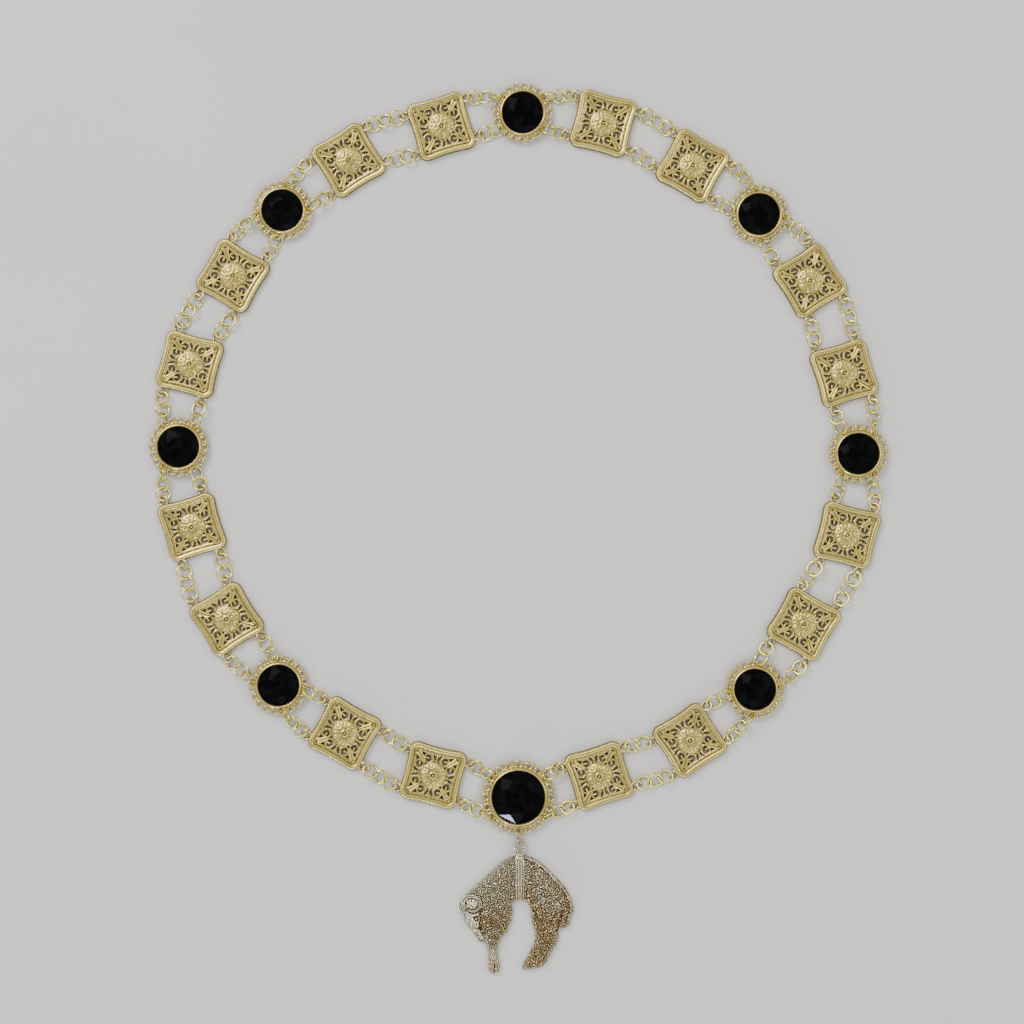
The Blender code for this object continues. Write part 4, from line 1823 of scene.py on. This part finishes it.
@dataclass
class Fleece:
    """Ram's fleece hung by its middle: curled wool, horn, face, legs and a braided girdle.

    X is across and Y up, from the middle of its top edge.
    """

    width: float = 53.0
    length: float = 54.7
    spacing: float = 0.155
    edge_height: float = 1.4
    top_height: float = 4.3
    edge_swell: float = 6.0
    lock_spacing: float = 2.0
    lock_pitch: float = 0.93
    lock_lean: float = 1.0
    lock_height: float = 0.36
    lock_jitter: float = 0.36
    lock_margin: int = 6
    lock_growth: float = 0.2
    lock_growth_run: Pair = (-6.0, 8.0)
    lock_meeting: float = 0.28
    lock_groove: float = 0.6
    waves: Pair = (0.5, 0.3)
    seed: int = 5
    curve_steps: int = 8
    horn_middle: Pair = (-22.2, -22.0)
    horn_radius: float = 4.35
    horn_half: float = 0.95
    horn_squash: float = 1.13
    horn_start: float = math.radians(222)
    horn_end: float = math.radians(345)
    horn_fall: float = 0.012
    horn_stop: float = 4.0
    horn_taper: float = 0.06
    horn_edge: Pair = (-0.12, 0.15)
    ear_lobe: Stroke = Stroke((-23.0, -22.6), (-20.9, -21.9), 2.0, 0.45)
    ear_rib: Stroke = Stroke((-22.4, -21.4), (-20.4, -22.3), 0.6, 0.4)
    ear_groove: Stroke = Stroke((-24.0, -22.4), (-21.8, -23.4), 0.3, 0.3)
    ear_root: Pair = (-20.6, -20.0)
    ear_ripple: float = 0.17
    ear_pitch: float = 1.35
    ear_sunk: float = 0.3
    hair_height: float = 0.27
    hair_pitches: Pair = (1.1, 1.5)
    bridge: Stroke = Stroke((-23.4, -26.0), (-21.9, -34.6), 2.2, 0.5)
    face_raised: tuple[Stroke, ...] = (
        Stroke((-20.3, -28.6), (-20.2, -28.7), 0.66, 0.95),
        Stroke((-23.4, -26.3), (-19.9, -26.9), 0.55, 0.4),
        Stroke((-19.4, -30.8), (-19.9, -32.4), 1.2, 0.3),
        Stroke((-21.9, -34.2), (-21.2, -34.8), 1.1, 0.35),
    )
    face_sunk: tuple[Stroke, ...] = (
        Stroke((-21.6, -28.0), (-18.9, -29.4), 0.5, 0.3),
        Stroke((-21.9, -33.9), (-21.8, -34.0), 0.3, 0.35),
        Stroke((-23.6, -34.6), (-20.6, -35.4), 0.25, 0.35),
        Stroke((-21.0, -33.0), (-19.2, -29.8), 0.3, 0.2),
    )
    beard: Stroke = Stroke((-19.4, -34.8), (-17.6, -37.6), 1.3, 0.2)
    folds: tuple[Stroke, ...] = (
        Stroke((-18.0, -24.6), (-18.4, -33.4), 0.8, 0.5),
        Stroke((-18.4, -33.4), (-16.6, -38.4), 0.8, 0.4),
        Stroke((-15.0, -39.8), (-9.4, -41.0), 1.0, 0.45),
        Stroke((17.4, -34.6), (19.8, -27.4), 0.9, 0.6),
        Stroke((19.8, -27.4), (20.6, -23.0), 1.0, 0.3),
        Stroke((5.4, -44.0), (9.8, -48.6), 0.9, 0.35),
    )
    cleft: Stroke = Stroke((-11.6, -50.4), (-11.9, -56.0), 0.32, 0.6)
    hind_tip: tuple[Pair, ...] = (
        (-0.5, -55.0),
        (3.6, -54.6),
        (3.8, -52.0),
        (2.6, -50.4),
        (1.6, -50.6),
    )
    leg_sides: Pair = (-16.5, -8.0)
    leg_shares: Pair = (0.8, 0.6)
    hoof_top: Pair = (49.2, 50.4)
    shin_top: Pair = (42.5, 45.5)
    coronet: float = 49.3
    coronet_half: float = 0.6
    coronet_height: float = 0.25
    sinew_height: float = 0.36
    whorl: Pair = (12.6, -25.8)
    whorl_radius: float = 4.7
    whorl_reach: float = 0.7
    whorl_depth: float = 0.3
    whorl_end: float = 16.0
    border: Pair = (0.55, 0.5)
    border_corner: Pair = (2.4, -30.0)
    girdle_middle: float = 0.3
    girdle_half: float = 2.0
    girdle_end: float = -21.2
    girdle_level: float = 4.6
    braid: Pair = (0.6, 0.55)
    rail: Pair = (1.62, 0.24)
    sheet_margins: Pair = (2.6, 0.8)
    relief_reach: int = 3
    eye: Pair = (-20.3, -28.6)
    face_corners: tuple[Pair, ...] = (
        (-28.6, -24.6),
        (-26.4, -30.6),
        (-23.8, -35.2),
        (-21.4, -36.4),
        (-19.6, -34.6),
        (-18.9, -31.6),
        (-18.6, -28.6),
        (-20.0, -26.4),
        (-24.0, -25.6),
    )
    masses: tuple[Mass, ...] = (
        Mass(-12.0, -16.0, 15.0, 8.5, 42.0, 1.1),
        Mass(12.5, -15.5, 15.0, 8.5, -50.0, 1.0),
        Mass(-12.2, -31.5, 9.5, 6.5, 80.0, 1.3),
        Mass(12.6, -25.8, 6.0, 5.6, 0.0, 0.9),
        Mass(12.5, -38.0, 11.0, 6.0, 70.0, 1.0),
        Mass(-12.6, -44.0, 8.0, 3.4, -86.0, 0.9),
        Mass(-20.6, -28.6, 8.5, 4.5, -62.0, 0.9),
        Mass(21.0, -27.0, 6.0, 4.0, -60.0, 0.7),
    )
    outline_shares: tuple[Pair, ...] = (
        (-0.040, 0.000),
        (-0.126, -0.029),
        (-0.308, -0.186),
        (-0.489, -0.353),
        (-0.528, -0.430),
        (-0.483, -0.556),
        (-0.383, -0.686),
        (-0.343, -0.735),
        (-0.308, -0.725),
        (-0.275, -0.845),
        (-0.266, -0.989),
        (-0.192, -0.996),
        (-0.174, -0.949),
        (-0.194, -0.845),
        (-0.175, -0.722),
        (-0.098, -0.625),
        (-0.060, -0.484),
        (-0.075, -0.417),
        (-0.028, -0.375),
        (0.049, -0.375),
        (0.091, -0.424),
        (0.109, -0.539),
        (0.142, -0.704),
        (0.100, -0.817),
        (0.026, -0.949),
        (0.064, -0.969),
        (0.209, -0.936),
        (0.281, -0.826),
        (0.343, -0.713),
        (0.340, -0.633),
        (0.430, -0.592),
        (0.445, -0.523),
        (0.472, -0.441),
        (0.408, -0.283),
        (0.209, -0.073),
        (0.074, 0.000),
    )

    def outline(self) -> Array:
        """Smooth closed curve through the outline's points, each stretch a cubic of its four nearest.

        Returns:
            Its points, one in a row.
        """
        knots = np.array(self.outline_shares) * (self.width, self.length)
        before, after, beyond = (np.roll(knots, n, axis=0) for n in (1, -1, -2))
        share = (np.arange(self.curve_steps) / self.curve_steps)[None, :, None]
        start, end = knots[:, None], after[:, None]
        lead, trail = (end - before[:, None]) / 2, (beyond[:, None] - start) / 2
        curve = (
            (2 * share**3 - 3 * share**2 + 1) * start
            + (share**3 - 2 * share**2 + share) * lead
            + (3 * share**2 - 2 * share**3) * end
            + (share**3 - share**2) * trail
        )
        return curve.reshape(-1, 2)

    @staticmethod
    def inside(x: Array, y: Array, corners: Array) -> Array:
        """Distance inside a closed polygon: that to its nearest side, below 0 outside it.

        Args:
            x: X of each point.
            y: Y of each point.
            corners: The polygon's corners.

        Returns:
            The distances.
        """
        nearest = np.full(x.shape, np.inf)
        crossed = np.zeros(x.shape, bool)
        for start, end in zip(corners, np.roll(corners, -1, axis=0)):
            nearest = np.minimum(nearest, from_line(x, y, tuple(start), tuple(end)))
            if start[1] != end[1]:
                spans = (start[1] > y) != (end[1] > y)
                at = start[0] + (y - start[1]) * (end[0] - start[0]) / (end[1] - start[1])
                crossed ^= spans & (x < at)
        return np.where(crossed, nearest, -nearest)

    def locks(self, x: Array, y: Array) -> Array:
        """Curled locks of wool, from -1 to 1.

        The plane is bent by long waves first. Each lock is then part of a spiral,
        cos(2 pi r / pitch - t), with r and t the distance and angle from a point beside the lock's
        middle, and it sinks where it meets the next lock. Of the jittered middles, the 25 nearest
        are compared.

        Args:
            x: X of each point.
            y: Y of each point.

        Returns:
            The height of the locks as a share of their own.
        """
        long, short = self.waves
        bent_x = x + long * np.sin(0.9 * y + 1.3) + short * np.sin(1.7 * y - 0.8 * x)
        bent_y = y + long * np.sin(0.8 * x + 0.4) + short * np.sin(1.5 * x + 0.9 * y)
        chance = np.random.default_rng(self.seed)
        step = self.lock_spacing
        margin = self.lock_margin
        count = int(max(self.width, self.length) / step) + 2 * margin
        jitter = chance.uniform(-self.lock_jitter, self.lock_jitter, (2, count, count)) * step
        first = chance.uniform(0, FULL_TURN, (count, count))
        way = chance.choice((-1.0, 1.0), (count, count))
        slant = chance.uniform(0, FULL_TURN, (count, count))
        lean = chance.uniform(0, self.lock_lean, (count, count)) * step
        column = np.floor(bent_x / step).astype(int) + count // 2
        row = np.floor(bent_y / step).astype(int) + count - margin
        nearest = np.full(x.shape, np.inf)
        second = np.full(x.shape, np.inf)
        phase = np.zeros(x.shape)
        pitch = self.lock_pitch * (1 + self.lock_growth * rise(x, *self.lock_growth_run))
        for right in range(-2, 3):
            for up in range(-2, 3):
                i, j = row + up, column + right
                off_x = bent_x - ((j - count // 2) + 0.5) * step - jitter[0][i, j]
                off_y = bent_y - ((i - count + margin) + 0.5) * step - jitter[1][i, j]
                away = np.hypot(off_x, off_y)
                lean_x = off_x + lean[i, j] * np.cos(slant[i, j])
                lean_y = off_y + lean[i, j] * np.sin(slant[i, j])
                spiral = FULL_TURN * np.hypot(lean_x, lean_y) / pitch
                spiral = spiral - way[i, j] * np.arctan2(lean_y, lean_x) + first[i, j]
                closer = away < nearest
                second = np.where(closer, nearest, np.minimum(second, away))
                phase = np.where(closer, spiral, phase)
                nearest = np.where(closer, away, nearest)
        meeting = rise(second - nearest, 0.0, self.lock_meeting)
        return np.cos(phase) * meeting - self.lock_groove * (1 - meeting)

    def body(self, x: Array, y: Array, inside: Array) -> Array:
        """Rounded body: a quarter circle up from its edge, and the masses on it."""
        share = np.clip(inside / self.edge_swell, 0, 1)
        height = self.edge_height + (self.top_height - self.edge_height) * np.sqrt(1 - (1 - share) ** 2)
        return height + sum(mass.swelling(x, y) for mass in self.masses) * rise(inside, 0.0, 3.0)

    def horn(self, x: Array, y: Array) -> tuple[Array, Array]:
        """Horn and ear: how far a point lies in them from 0 to 1, and their height over the body.

        The horn's middle line goes clockwise from the lower left over the top and back under the
        right, and its radius falls by the angle to the power 2.5. Two thin ridges follow it. The ear
        is a rounded lobe in the horn's ring.

        Args:
            x: X of each point.
            y: Y of each point.

        Returns:
            The shares, and the heights.
        """
        across, up = x - self.horn_middle[0], (y - self.horn_middle[1]) * self.horn_squash
        away = np.hypot(across, up)
        turned_by = (self.horn_start - np.arctan2(up, across)) % FULL_TURN
        along = np.minimum(turned_by, self.horn_end)
        inwards = away - self.horn_radius + self.horn_fall * along**2.5
        off = np.abs(inwards + self.horn_stop * (turned_by - along))
        half = self.horn_half - self.horn_taper * along
        ridges = half_round(off - half * 0.56, 0.4 * half) * 0.62 + 0.2 * half_round(off, 1.2 * half)
        ear = self.ear_lobe.ridge(x, y) + self.ear_rib.ridge(x, y) - self.ear_groove.ridge(x, y)
        ripple = np.cos(FULL_TURN * from_point(x, y, self.ear_root) / self.ear_pitch)
        ear = ear + self.ear_ripple * ripple
        on_horn = rise(half - off, *self.horn_edge)
        inner = rise(self.horn_radius + 0.7 - away, -0.1, 0.3)
        return np.maximum(on_horn, inner * 0.65), np.where(on_horn > 0, ridges, ear - self.ear_sunk)

    def face(self, x: Array, y: Array) -> tuple[Array, Array]:
        """Face: how far a point lies in it from 0 to 1, and its height over the body.

        A wedge from under the horn to the muzzle with short hair, highest along the bridge, with a
        brow over a bead of an eye, a cheek, a nostril, a line for the mouth and a tuft of beard.

        Args:
            x: X of each point.
            y: Y of each point.

        Returns:
            The shares, and the heights.
        """
        share = rise(self.inside(x, y, np.array(self.face_corners)), -0.2, 0.8)
        height = self.bridge.ridge(x, y) - 0.2
        lengthwise, crosswise = self.hair_pitches
        hair = np.cos(FULL_TURN * (0.8 * x + 0.5 * y + 0.4 * np.sin(1.9 * y)) / lengthwise)
        hair = hair * np.cos(FULL_TURN * (0.5 * y - 0.3 * x) / crosswise)
        height = height + self.hair_height * hair * rise(self.bridge.away(x, y), 0.2, 1.2)
        from_eye = from_point(x, y, self.eye)
        height = height - 0.4 * half_round(from_eye - 1.0, 0.4)
        for stroke in self.face_raised:
            height = height + stroke.ridge(x, y)
        for stroke in self.face_sunk:
            height = height - stroke.ridge(x, y) * (from_eye > 0.6)
        tuft = rise(self.beard.reach - self.beard.away(x, y), 0.0, 0.6)
        strands = self.beard.height * np.cos(FULL_TURN * (x + 0.5 * y) / 0.95)
        return np.maximum(share * 0.75, tuft * 0.85), height * (1 - tuft) + (0.05 + strands) * tuft

    def hooves(self, x: Array, y: Array) -> tuple[Array, Array]:
        """Hooves: how far a point lies in them from 0 to 1, and their height over the body.

        Args:
            x: X of each point.
            y: Y of each point.

        Returns:
            The shares, and the heights.
        """
        on_leg = (x < self.leg_sides[1]) * (x > self.leg_sides[0])
        fore, shin = rise(-y, *self.hoof_top) * on_leg, rise(-y, *self.shin_top) * on_leg
        coronet = self.coronet_height * half_round(y + self.coronet, self.coronet_half)
        sinew = np.cos(FULL_TURN * (x + 0.06 * y + 0.3 * np.sin(1.1 * y)) / 1.0)
        sinew = sinew * (0.65 + 0.35 * np.cos(FULL_TURN * (y + 0.5 * x) / 2.1))
        hind = rise(self.inside(x, y, np.array(self.hind_tip)), -0.2, 0.4)
        height = coronet * shin - self.cleft.ridge(x, y) * fore + self.sinew_height * sinew * shin
        hoof_share, shin_share = self.leg_shares
        return np.maximum(np.maximum(fore * hoof_share, shin * shin_share), hind), height

    def fields(self, x: Array, y: Array) -> tuple[Array, Array, Array]:
        """Distance inside the fleece, the height of its top, and that of its body alone.

        Args:
            x: X of each point.
            y: Y of each point.

        Returns:
            The distances, and the two heights.
        """
        inside = self.inside(x, y, self.outline())
        locks = self.locks(x, y)
        form = self.body(x, y, inside)
        height = form
        for stroke in self.folds:
            height = height - stroke.fold(x, y)
        whorl = np.abs(from_point(x, y, self.whorl) - self.whorl_radius)
        groove = self.whorl_depth * np.exp(-((whorl / self.whorl_reach) ** 2))
        height = height - groove * (x < self.whorl_end)

        wool = np.ones(x.shape)
        for smooth, over in (self.hooves(x, y), self.face(x, y), self.horn(x, y)):
            height = height + over * smooth
            wool = wool * (1 - smooth)

        place, reach = self.border
        left, foot = self.border_corner
        border = half_round(inside - place, reach) * (y > foot) * (x > left)
        height = height + (0.65 + 0.25 * locks) * border
        wool = wool * (1 - 0.6 * border)
        lock_height = self.lock_height * (0.75 + 0.25 * rise(inside, 0.0, 2.0))
        height = height + lock_height * locks * wool

        off_girdle = np.abs(x - self.girdle_middle)
        on_band = rise(self.girdle_half - off_girdle, 0.0, 0.2) * (y > self.girdle_end)
        braid = np.abs(np.cos(math.pi * (y + 0.7 * off_girdle))) ** 0.7
        braid = braid * half_round(off_girdle - self.braid[0], self.braid[1])
        rail = half_round(off_girdle - self.rail[0], self.rail[1])
        level = np.minimum(form, self.girdle_level)
        height = height * (1 - on_band) + (level + 0.6 * braid + 0.3 * rail - 0.1) * on_band
        ragged = 0.2 + 0.3 * rise(x, 14.0, 20.0)
        return inside + (ragged * locks + 0.12) * wool, height, form

    def surface(self) -> Surface:
        """The whole fleece without its collar and bail.

        Returns:
            The surface, in the fleece's own frame.
        """
        beside, over = self.sheet_margins
        low = (-self.width / 2 - beside, -self.length - over)
        sheet = Relief(low, (self.width / 2, over), self.spacing, reach=self.relief_reach)
        inside, height, form = self.fields(*sheet.grid())
        return sheet.surface(inside, height, 0.0, form=form)


@dataclass
class Hanger:
    """Upright ring, twisted bail and collar between the large setting and the fleece."""

    ring_radius: float = 3.0
    wire: float = 1.03
    ring_drop: float = 0.9
    ring_room: float = 0.6
    ring_steps: int = 36
    ring_sides: int = 10
    bail_half_width: float = 2.1
    bail_half_length: float = 3.15
    bail_wire: float = 1.55
    bail_height: float = 2.8
    bail_lumps: int = 14
    collar_half: float = 2.0
    collar_length: float = 2.8
    shift_x: float = 0.5

    def upright_ring(self) -> Surface:
        """The round ring that stands on its edge, from the flange's edge."""
        made = ring(self.ring_radius, self.wire, self.ring_steps, self.ring_sides)
        place = shift(0.0, -self.ring_drop, self.ring_radius + self.wire / 2)
        return made.placed(place @ turn(1, math.pi / 2))

    def bail(self) -> Surface:
        """Egg-shaped loop of two twisted wires.

        The middle line is (w cos t (1 + 0.2 sin t), l sin t). The section at t has the radius
        r (1 + 0.3 cos(2 (s - n t / 2))), with s the angle round the wire and n the lumps.

        Returns:
            The closed surface.
        """
        steps, sides = 112, 12
        along = np.arange(steps)[:, None] * FULL_TURN / steps
        section = np.arange(sides)[None, :] * FULL_TURN / sides
        x = self.bail_half_width * np.cos(along) * (1 + 0.2 * np.sin(along))
        y = self.bail_half_length * np.sin(along)
        ahead = np.stack((np.roll(x, -1) - np.roll(x, 1), np.roll(y, -1) - np.roll(y, 1)))
        ahead = ahead / np.hypot(*ahead)
        twist = np.cos(2 * (section - self.bail_lumps * along / 2))
        out = self.bail_wire / 2 * (0.92 + 0.22 * twist)
        points = as_points(
            x - ahead[1] * out * np.cos(section),
            y + ahead[0] * out * np.cos(section),
            self.bail_height + out * np.sin(section),
        )
        middle = self.collar_length / 2 + self.bail_half_length + self.bail_wire / 2
        # The twist is the relief: the grooves between the wires get patina and painted shade.
        made = Surface(points, quads(steps, sides, True).tolist(), twist.reshape(-1))
        return made.placed(shift(0.0, middle))

    def collar(self) -> Surface:
        """Ribbed block under the bail: a rounded square section whose half width follows its ribs.

        A point of the section is (sign cos t |cos t| to 0.4, the same of sin t), times the half width.

        Returns:
            The closed surface.
        """
        sides = 32
        stations = np.array((1.9, 1.85, 1.6, 1.2, 0.8, 0.5, 0.1, -0.3, -0.7, -1.0, -1.4, -1.45))
        widths = np.array((0.55, 0.86, 0.98, 0.98, 0.86, 0.84, 1.0, 1.0, 0.84, 0.92, 0.86, 0.55))
        angle = np.arange(sides) * FULL_TURN / sides
        across = np.sign(np.cos(angle)) * np.abs(np.cos(angle)) ** 0.4
        up = np.sign(np.sin(angle)) * np.abs(np.sin(angle)) ** 0.4
        size = self.collar_half * widths[:, None]
        points = as_points(size * across, stations[:, None], self.collar_half + size * up)
        faces = quads(len(stations), sides, False).tolist()
        last = (len(stations) - 1) * sides
        faces += [list(range(sides))[::-1], [last + i for i in range(sides)]]
        # Narrow stations, the grooves and the ends, get low relief: patina and painted shade.
        relief = np.repeat((widths - 0.92) * 6, sides)
        return Surface(points, faces, np.clip(relief, -1, 1))


# Studio


@dataclass
class Studio:
    """Pale floor, soft light and the camera straight above."""

    scale: float = 0.47
    image_side: int = 1024
    lens: float = 85.0
    sensor: float = 36.0
    aim: Pair = (-2.98, 7.69)
    plate_top: float = 2.5
    floor_half: float = 12000.0
    floor_drop: float = 0.01
    surround: tuple[Pair, ...] = (
        (0.0, 0.2),
        (0.35, 0.85),
        (0.7, 1.3),
        (0.88, 0.95),
        (0.97, 0.45),
    )

    def camera(self) -> None:
        """Camera over the photo's middle, at the height where the plates' tops keep their scale."""
        distance = self.scale * self.image_side * self.lens / self.sensor
        data = bpy.data.cameras.new("camera")
        data.lens = self.lens
        data.sensor_width = self.sensor
        data.clip_start = 0.01
        data.clip_end = 20.0
        camera = bpy.data.objects.new("camera", data)
        camera.location = [v * MM for v in (*self.aim, distance + self.plate_top)]
        bpy.context.scene.collection.objects.link(camera)
        bpy.context.scene.camera = camera

    def floor(self, material: Material) -> None:
        """Floor under the chain.

        Args:
            material: Its material.
        """
        half = self.floor_half * MM
        mesh = bpy.data.meshes.new("floor")
        level = -self.floor_drop * MM
        corners = [(x * half, y * half, level) for x, y in ((-1, -1), (1, -1), (1, 1), (-1, 1))]
        mesh.from_pydata(corners, [], [(0, 1, 2, 3)])
        mesh.materials.append(material)
        floor = bpy.data.objects.new("floor", mesh)
        bpy.context.scene.collection.objects.link(floor)

    def lamp(
        self, name: str, place: Colour, size: Pair, power: float, colour: Colour
    ) -> None:
        """Rectangular soft light in metres and watts, turned to the middle of the chain.

        Args:
            name: Name of the lamp.
            place: Its place in metres.
            size: Its width and height.
            power: Its power in watts.
            colour: Its colour.
        """
        data = bpy.data.lights.new(name, "AREA")
        data.shape = "RECTANGLE"
        data.size, data.size_y = size
        data.energy = power
        data.color = colour
        lamp = bpy.data.objects.new(name, data)
        lamp.location = place
        lamp.rotation_mode = "QUATERNION"
        lamp.rotation_quaternion = Vector(place).to_track_quat("Z", "Y")
        bpy.context.scene.collection.objects.link(lamp)

    def world(self) -> None:
        """Soft surround: a broad bright ring of light between the horizon and a dimmer zenith."""
        graph = Graph(bpy.data.worlds.new("surround"))
        bpy.context.scene.world = graph.owner
        heading = graph.node("ShaderNodeTexCoord", {}, {}, "Generated")
        up = graph.node("ShaderNodeSeparateXYZ", {}, {"Vector": heading}, "Z")
        stops = [(height, (light,) * 3) for height, light in self.surround]
        colour = graph.node("ShaderNodeValToRGB", {"stops": stops}, {"Fac": up}, "Color")
        sky = graph.node("ShaderNodeBackground", {}, {"Color": colour})
        graph.node("ShaderNodeOutputWorld", {}, {"Surface": sky}, None)

    def build(self, material: Material) -> None:
        """Sets up the whole studio.

        Args:
            material: Material of the floor.
        """
        self.camera()
        self.floor(material)
        self.world()
        self.lamp("key", (-0.9, 1.0, 1.5), (1.0, 1.0), 26.0, (1.0, 0.98, 0.95))
        self.lamp("fill", (1.3, 0.2, 1.1), (0.7, 1.2), 6.0, (0.96, 0.98, 1.0))
        self.lamp("back", (0.2, -1.4, 1.0), (1.2, 0.4), 5.0, (1.0, 1.0, 1.0))
        self.lamp("glint", (-0.506, -1.301, 0.291), (0.065, 0.065), 8.0, (0.55, 0.70, 1.0))


# The chain


@dataclass
class Chain:
    """Builds the pieces in the order of the ring."""

    shop: Workshop
    strands: Strands = field(default_factory=Strands)
    hanger: Hanger = field(default_factory=Hanger)
    plate: PiercedPlate = field(default_factory=PiercedPlate)
    fleece: Fleece = field(default_factory=Fleece)
    stone_crowns: Pair = (2.0, 2.8)
    large_phase: float = math.radians(18.5)
    seed: int = 11

    def __post_init__(self) -> None:
        """Works out the places."""
        self.frames = self.shop.layout.frames()
        self.chance = np.random.default_rng(self.seed)

    def plates(self) -> None:
        """Sixteen plates from one mesh, each with its loops.

        A loop leans the other way from the link that it meets, and links lean by turns along their
        run. The run from a pair's first plate to its setting goes against the plate's +X, which
        turns the sign, and an inner strand of two links ends with the other lean.
        """
        layout = self.shop.layout
        gold = self.shop.material(PLATE_GOLD)
        mesh = self.plate.surface().mesh("plate", gold, SHARP_CAST)
        loop_gold = self.shop.material(LOOP_GOLD)
        stations = [i for i in range(layout.stations) if i % layout.group_size]
        for number, station in enumerate(stations, 1):
            name = f"plate_{number:02d}"
            place = self.frames[station]
            self.shop.add_copy(mesh, name + "_pierced", place, Slot.PLATE, name)
            pair_side = 1 if station % layout.group_size == 1 else -1
            roll = self.strands.roll
            rolls = {
                (pair_side, 1): -roll,
                (pair_side, -1): -pair_side * roll,
                (-pair_side, 1): pair_side * roll,
                (-pair_side, -1): pair_side * roll,
            }
            loops = self.strands.loops(place, rolls).mesh(name + "_loops", loop_gold, SHARP_WIRE)
            self.shop.add(loops, Slot.PLATE, name)
        bpy.data.meshes.remove(mesh)

    def links(self) -> None:
        """Strands between the plates of each pair."""
        layout = self.shop.layout
        gold = self.shop.material(LINK_GOLD)
        for group in range(layout.group_count):
            first = self.frames[group * layout.group_size + 1]
            second = self.frames[group * layout.group_size + 2]
            for word, strand, count in (
                ("outer", 1, self.strands.outer_count),
                ("inner", -1, self.strands.inner_count),
            ):
                start = self.strands.loop_place(first, 1, strand)
                end = self.strands.loop_place(second, -1, strand)
                spread = self.chance.uniform(-1, 1, count)
                links = self.strands.between_plates(start, end, spread)
                mesh = links.mesh(f"{word}_links_{group + 1}", gold, SHARP_WIRE)
                self.shop.add(mesh, Slot.LINK, f"{word}_chain_{group + 1}")

    def settings(self) -> None:
        """Eight settings, each with its gallery, cup, stone and four strands."""
        layout = self.shop.layout
        gold = self.shop.material(SETTING_GOLD)
        link_gold = self.shop.material(LINK_GOLD)
        glass = self.shop.material(BLACK_GLASS)
        galleries: dict[float, tuple[Mesh, Mesh]] = {}
        for group in range(layout.group_count):
            station = group * layout.group_size
            place = self.frames[station]
            large = group == layout.large_group
            radius = layout.setting_radius(group)
            node = f"setting_{group + 1}"
            if radius not in galleries:
                seat = layout.stone_radius(group) + layout.clearance
                setting = Setting(radius, seat)
                galleries[radius] = (
                    setting.gallery().mesh("gallery", gold, SHARP_CAST),
                    setting.cup().mesh("cup", gold, SHARP_CAST),
                )
            for word, mesh in zip(("gallery", "cup"), galleries[radius]):
                self.shop.add_copy(mesh, f"{node}_{word}", place, Slot.SETTING, node)

            strands = []
            for side in (-1, 1):
                plate = self.frames[(station + side) % layout.stations]
                for strand, count in ((-1, self.strands.inner_count), (1, self.strands.outer_count)):
                    start = self.strands.loop_place(plate, -side, strand)
                    hooked = self.strands.hooked(place, radius, side, strand, start)
                    spread = self.chance.uniform(-1, 1, count)
                    strands.append(self.strands.to_setting(start, hooked, spread))
            mesh = Surface.joined(strands).mesh(f"{node}_links", link_gold, SHARP_WIRE)
            self.shop.add(mesh, Slot.LINK, node)

            phase = self.large_phase if large else self.chance.uniform(0, FULL_TURN / CutStone.sides)
            stone = CutStone(layout.stone_radius(group), self.stone_crowns[large], phase)
            name = f"stone_{group + 1}"
            upright = shift(*place[:3, 3])
            self.shop.add(stone.mesh(name + "_cut", upright, glass), Slot.GLASS, name)
        for pair in galleries.values():
            for mesh in pair:
                bpy.data.meshes.remove(mesh)

    def pendant(self) -> None:
        """Upright ring, bail, collar and fleece."""
        layout, hanger = self.shop.layout, self.hanger
        large = self.frames[layout.large_group * layout.group_size]
        edge = large[1, 3] - layout.setting_radius(layout.large_group)
        top = shift(large[0, 3] + hanger.shift_x, edge, large[2, 3])
        bail_length = 2 * hanger.bail_half_length + hanger.bail_wire
        drop = hanger.ring_drop + hanger.ring_room + bail_length + hanger.collar_length / 2
        home = top @ shift(0.0, -drop)
        ring_gold = self.shop.material(LOOP_GOLD)
        metal = self.shop.material(FLEECE_METAL)
        ring_surface = hanger.upright_ring().placed(top)
        upright = ring_surface.mesh("pendant_ring_round", ring_gold, SHARP_WIRE)
        self.shop.add(upright, Slot.LINK, "pendant_ring")
        for name, surface in (
            ("fleece_cast", self.fleece.surface()),
            ("fleece_bail", hanger.bail()),
            ("fleece_collar", hanger.collar()),
        ):
            self.shop.add(surface.placed(home).mesh(name, metal, SHARP_FLEECE), Slot.FLEECE, "fleece")


def main() -> None:
    """Builds the studio and the chain."""
    logging.basicConfig(level=logging.INFO, format="%(name)s: %(message)s")
    shop = Workshop()
    Studio().build(shop.material(PALE_FLOOR))
    chain = Chain(shop)
    chain.plates()
    chain.links()
    chain.settings()
    chain.pendant()
    log.info("all pieces: %d triangles", shop.total)


if __name__ == "__main__":
    main()
